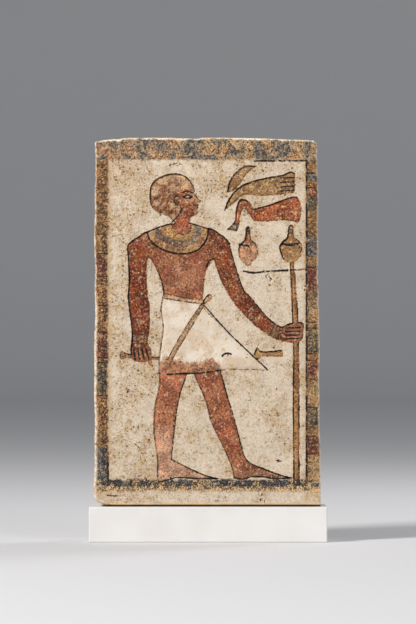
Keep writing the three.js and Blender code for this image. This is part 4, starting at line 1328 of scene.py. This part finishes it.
def wear_light_and_ink(tree, colour):
    """Pale worn places on the arrises and in the chips, with the painted highlight along the top arris and
    the painted reflection above the foot's gap, and over them the ink of the contours and lines, with the
    contours' painted shade.
    """
    patch, grain = tree.fields["patch"], tree.fields["grain"]
    # The arris mask holds real wear, with a painted highlight along the top and a painted reflection above
    # the foot
    worn = tree.math("MULTIPLY", tree.attribute("arris"), tree.span(patch, 0.36, 0.50), clamp=True)
    worn = tree.most(worn, tree.times(tree.attribute("chip"), 0.75))
    colour = tree.mix(worn, colour, tree.mix(tree.span(grain, 0.4, 0.62), PALE_WEAR_AND_HIGHLIGHT, TAN_WEAR_AND_HIGHLIGHT))
    contour = tree.attribute("contour")
    inked = tree.times(contour, tree.span(patch, 0.38, 0.60, 1.25, 0.6))
    inked = tree.plus(inked, tree.times(tree.math("SUBTRACT", 0.5, grain), 1.9))
    inked = tree.times(tree.span(inked, 0.24, 0.60), tree.span(contour, 0.04, 0.2))
    return tree.mix(inked, colour, tree.mix(tree.span(contour, 0.5, 0.85), FAINT_INK_AND_SHADE, INK_AND_SHADE_BLACK))


def border_colour(tree):
    """Paint of the four borders: blocks down both sides, and mottled bands above and below."""
    stain, patch, mottle = [tree.fields[name] for name in ("stain", "patch", "mottle")]
    height = tree.plus(tree.height, tree.wobble(patch, BLOCK_WOBBLE))
    limits = (height_of(BANDS_FOOT), height_of(BANDS_TOP))
    left, right = [
        tree.bands(height, *limits, [(height_of(start), colour) for start, colour in bands])
        for bands in (LEFT_BANDS, RIGHT_BANDS)
    ]
    at_right = tree.span(tree.across, -1, 1)
    side = tree.coat(tree.mix(at_right, left, right), BLOCK_COATS)
    red_end = tree.times(tree.span(tree.across, -40, -110), 0.65)
    level = tree.coat(tree.mix(red_end, BAND_OCHRE, BAND_BROWN), BAND_COATS)
    ground = tree.mix(tree.span(stain, 0.485, 0.525), GROUND_BLACK, GROUND_OCHRE)
    ground = tree.mix(tree.span(height, height_of(-0.48), height_of(-0.36), 0.95, 0), ground, GROUND_OCHRE)
    ends = tree.span(height, height_of(19.7), height_of(19.8))
    colour = tree.mix(ends, side, level)
    colour = tree.mix(tree.span(height, height_of(-0.05), height_of(0.05), 1, 0), colour, ground)
    colour = tree.coat(tree.shade(colour, mottle, 0.42, 0.58, 1.5, 0.6), BORDER_COATS)

    soot_left = tree.times(tree.span(tree.across, LEFT + 9, LEFT + 13), tree.span(tree.across, -1, 1, 1, 0))
    soot_right = tree.times(tree.span(tree.across, RIGHT - 17, RIGHT - 20), at_right)
    soot = tree.times(tree.most(soot_left, soot_right), 0.065)
    soot = tree.plus(tree.node("Mix", 0, {0: ends, 2: soot, 3: 0.018}), mottle)
    return tree.mix(tree.span(soot, 0.535, 0.575, 0, 0.85), tree.coat(colour, BORDER_FLECKS), SOOT)


def border_mask(tree, loss):
    """Where the borders' paint still shows."""
    wobble = tree.wobble(tree.fields["patch"], EDGE_WOBBLE)
    across = tree.plus(tree.across, wobble)
    height = tree.plus(tree.height, wobble)
    left = SLAB_SHIFT - PANEL_HALF
    right = SLAB_SHIFT + PANEL_HALF
    top = height_of(SQUARES_TALL)
    sides = tree.most(tree.span(across, left - BORDER_EDGE, left + BORDER_EDGE, 1, 0),
                      tree.span(across, right - BORDER_EDGE, right + BORDER_EDGE))
    sides = tree.times(sides, tree.span(height, height_of(-1.2), height_of(-0.5)))
    above = tree.span(height, top - BORDER_EDGE, top + BORDER_EDGE)
    below = tree.times(tree.span(height, height_of(-0.85), height_of(-0.55)),
                       tree.span(height, height_of(-0.05), height_of(0.1), 1, 0))
    kept = tree.span(tree.math("SUBTRACT", 1.0, loss), -0.1, 0.25)
    return tree.times(tree.most(tree.most(sides, above), below), kept, tree.attribute("carved_side"))


def add_object(name, data):
    piece = bpy.data.objects.new(name, data)
    bpy.context.scene.collection.objects.link(piece)
    return piece


def build_plinth():
    """The plinth is a plain block with rounded arrises, painted a satin white."""
    mesh = bpy.data.meshes.new("plinth_block")
    ends = [[value * MM for value in pair] for pair in zip(plinth_low, plinth_high)]
    corners = [(x, y, z) for x in ends[0] for y in ends[1] for z in ends[2]]
    quads = [(0, 1, 3, 2), (4, 6, 7, 5), (0, 4, 5, 1), (2, 3, 7, 6), (0, 2, 6, 4), (1, 5, 7, 3)]
    mesh.from_pydata(corners, [], quads)
    mesh.shade_smooth()
    piece = add_object("plinth_body", mesh)
    bevel = piece.modifiers.new("arris", "BEVEL")
    bevel.width = PLINTH_ARRIS * MM
    bevel.segments = 4
    bevel.harden_normals = False
    weighted = piece.modifiers.new("flat_faces", "WEIGHTED_NORMAL")
    weighted.keep_sharp = True
    mesh.materials.append(plinth_white())
    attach(piece, "root")
    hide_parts("plinth")


def plinth_white():
    tree = Tree("plinth_white")
    broad = tree.noise(60, detail=2)
    fine = tree.noise(2.2, detail=3, roughness=0.6, shift=300)
    colour = tree.mix(tree.span(broad, 0.3, 0.7), PLINTH_WHITE, PLINTH_PALE)
    colour = tree.mix(tree.span(fine, 0.62, 0.8, 0, 0.12), colour, PLINTH_DUST)
    tree.surface(Base_Color=colour, Roughness=tree.span(fine, 0.3, 0.7, 0.42, 0.56))
    tree.bumps((fine, 0.06, 0.0004))
    return tree.material


# Studio, in metres: the floor's rings as radius and height, and the sweep around it
FLOOR_RADIUS = 9.5
FLOOR_RINGS = [(0.4, 0.0), (1.5, 0.0), (4.5, 0.0), (FLOOR_RADIUS, 0.0)]
SWEEP_RADIUS = 2.5
WALL_TOP = 4.0
SWEEP_STEPS = 14
TURN_STEPS = 96
AIM = Vector((0, 0, 0.33))
# Lights: place, size of the square, power and colour
LIGHTS = {
    "key": ((-3.3, -2.8, 3.7), 1.1, 285, (1.0, 0.975, 0.95)),
    "fill": ((3.0, -3.9, 1.7), 2.0, 60, (0.97, 0.98, 1.0)),
    "rim": ((1.6, 1.4, 2.0), 0.8, 22, (1.0, 1.0, 1.0)),
}
SKY_STRENGTH = 0.35
CAMERA_DISTANCE = 6.0
FRAME_HEIGHT = 0.936
FRAME_MIDDLE = 0.345
SENSOR = 36
FRAME_ASPECT = 416 / 624


def add_stage():
    """A round pale floor that sweeps up into a low wall far behind the camera, the same from every side."""
    profile = list(FLOOR_RINGS)
    for k in range(1, SWEEP_STEPS + 1):
        turn = math.pi / 2 * k / SWEEP_STEPS
        profile.append((FLOOR_RADIUS + SWEEP_RADIUS * math.sin(turn), SWEEP_RADIUS * (1 - math.cos(turn))))
    profile.append((FLOOR_RADIUS + SWEEP_RADIUS, WALL_TOP))
    turns = [2 * math.pi * k / TURN_STEPS for k in range(TURN_STEPS)]
    points = [(radius * math.cos(turn), radius * math.sin(turn), up)
              for radius, up in profile for turn in turns]
    quads = [tuple(range(TURN_STEPS))]
    for low in range(0, len(points) - TURN_STEPS, TURN_STEPS):
        high = low + TURN_STEPS
        for k in range(TURN_STEPS):
            following = (k + 1) % TURN_STEPS
            quads.append((low + k, high + k, high + following, low + following))
    mesh = bpy.data.meshes.new("sweep")
    mesh.from_pydata(points, [], quads)
    mesh.shade_smooth()
    material = bpy.data.materials.new("studio_pale")
    material.use_nodes = True
    shader = material.node_tree.nodes["Principled BSDF"]
    shader.inputs["Base Color"].default_value = FLOOR_GREY
    shader.inputs["Roughness"].default_value = 0.85
    mesh.materials.append(material)
    add_object("studio_floor", mesh)


def add_lights():
    for name, (place, size, power, colour) in LIGHTS.items():
        light = bpy.data.lights.new(name, "AREA")
        light.shape = "SQUARE"
        light.size = size
        light.energy = power
        light.color = colour
        lamp = add_object(name, light)
        lamp.location = place
        lamp.rotation_euler = (AIM - Vector(place)).to_track_quat("-Z", "Y").to_euler()
    world = bpy.data.worlds.new("studio")
    world.use_nodes = True
    background = world.node_tree.nodes["Background"]
    background.inputs["Color"].default_value = SKY_GREY
    background.inputs["Strength"].default_value = SKY_STRENGTH
    bpy.context.scene.world = world


def add_camera():
    """The camera looks square on at the carved face, level, as the photograph does."""
    camera = bpy.data.cameras.new("photo_view")
    camera.sensor_fit = "VERTICAL"
    camera.sensor_height = SENSOR
    camera.sensor_width = SENSOR * FRAME_ASPECT
    camera.lens = SENSOR * (CAMERA_DISTANCE + FACE_Y * MM) / FRAME_HEIGHT
    camera.clip_end = 40
    eye = add_object("photo_view", camera)
    eye.location = (0, -CAMERA_DISTANCE, FRAME_MIDDLE)
    eye.rotation_euler = (math.pi / 2, 0, 0)
    bpy.context.scene.camera = eye


bpy.context.scene.view_settings.view_transform = "Standard"
add_camera()
build_stele()
build_plinth()
add_stage()
add_lights()
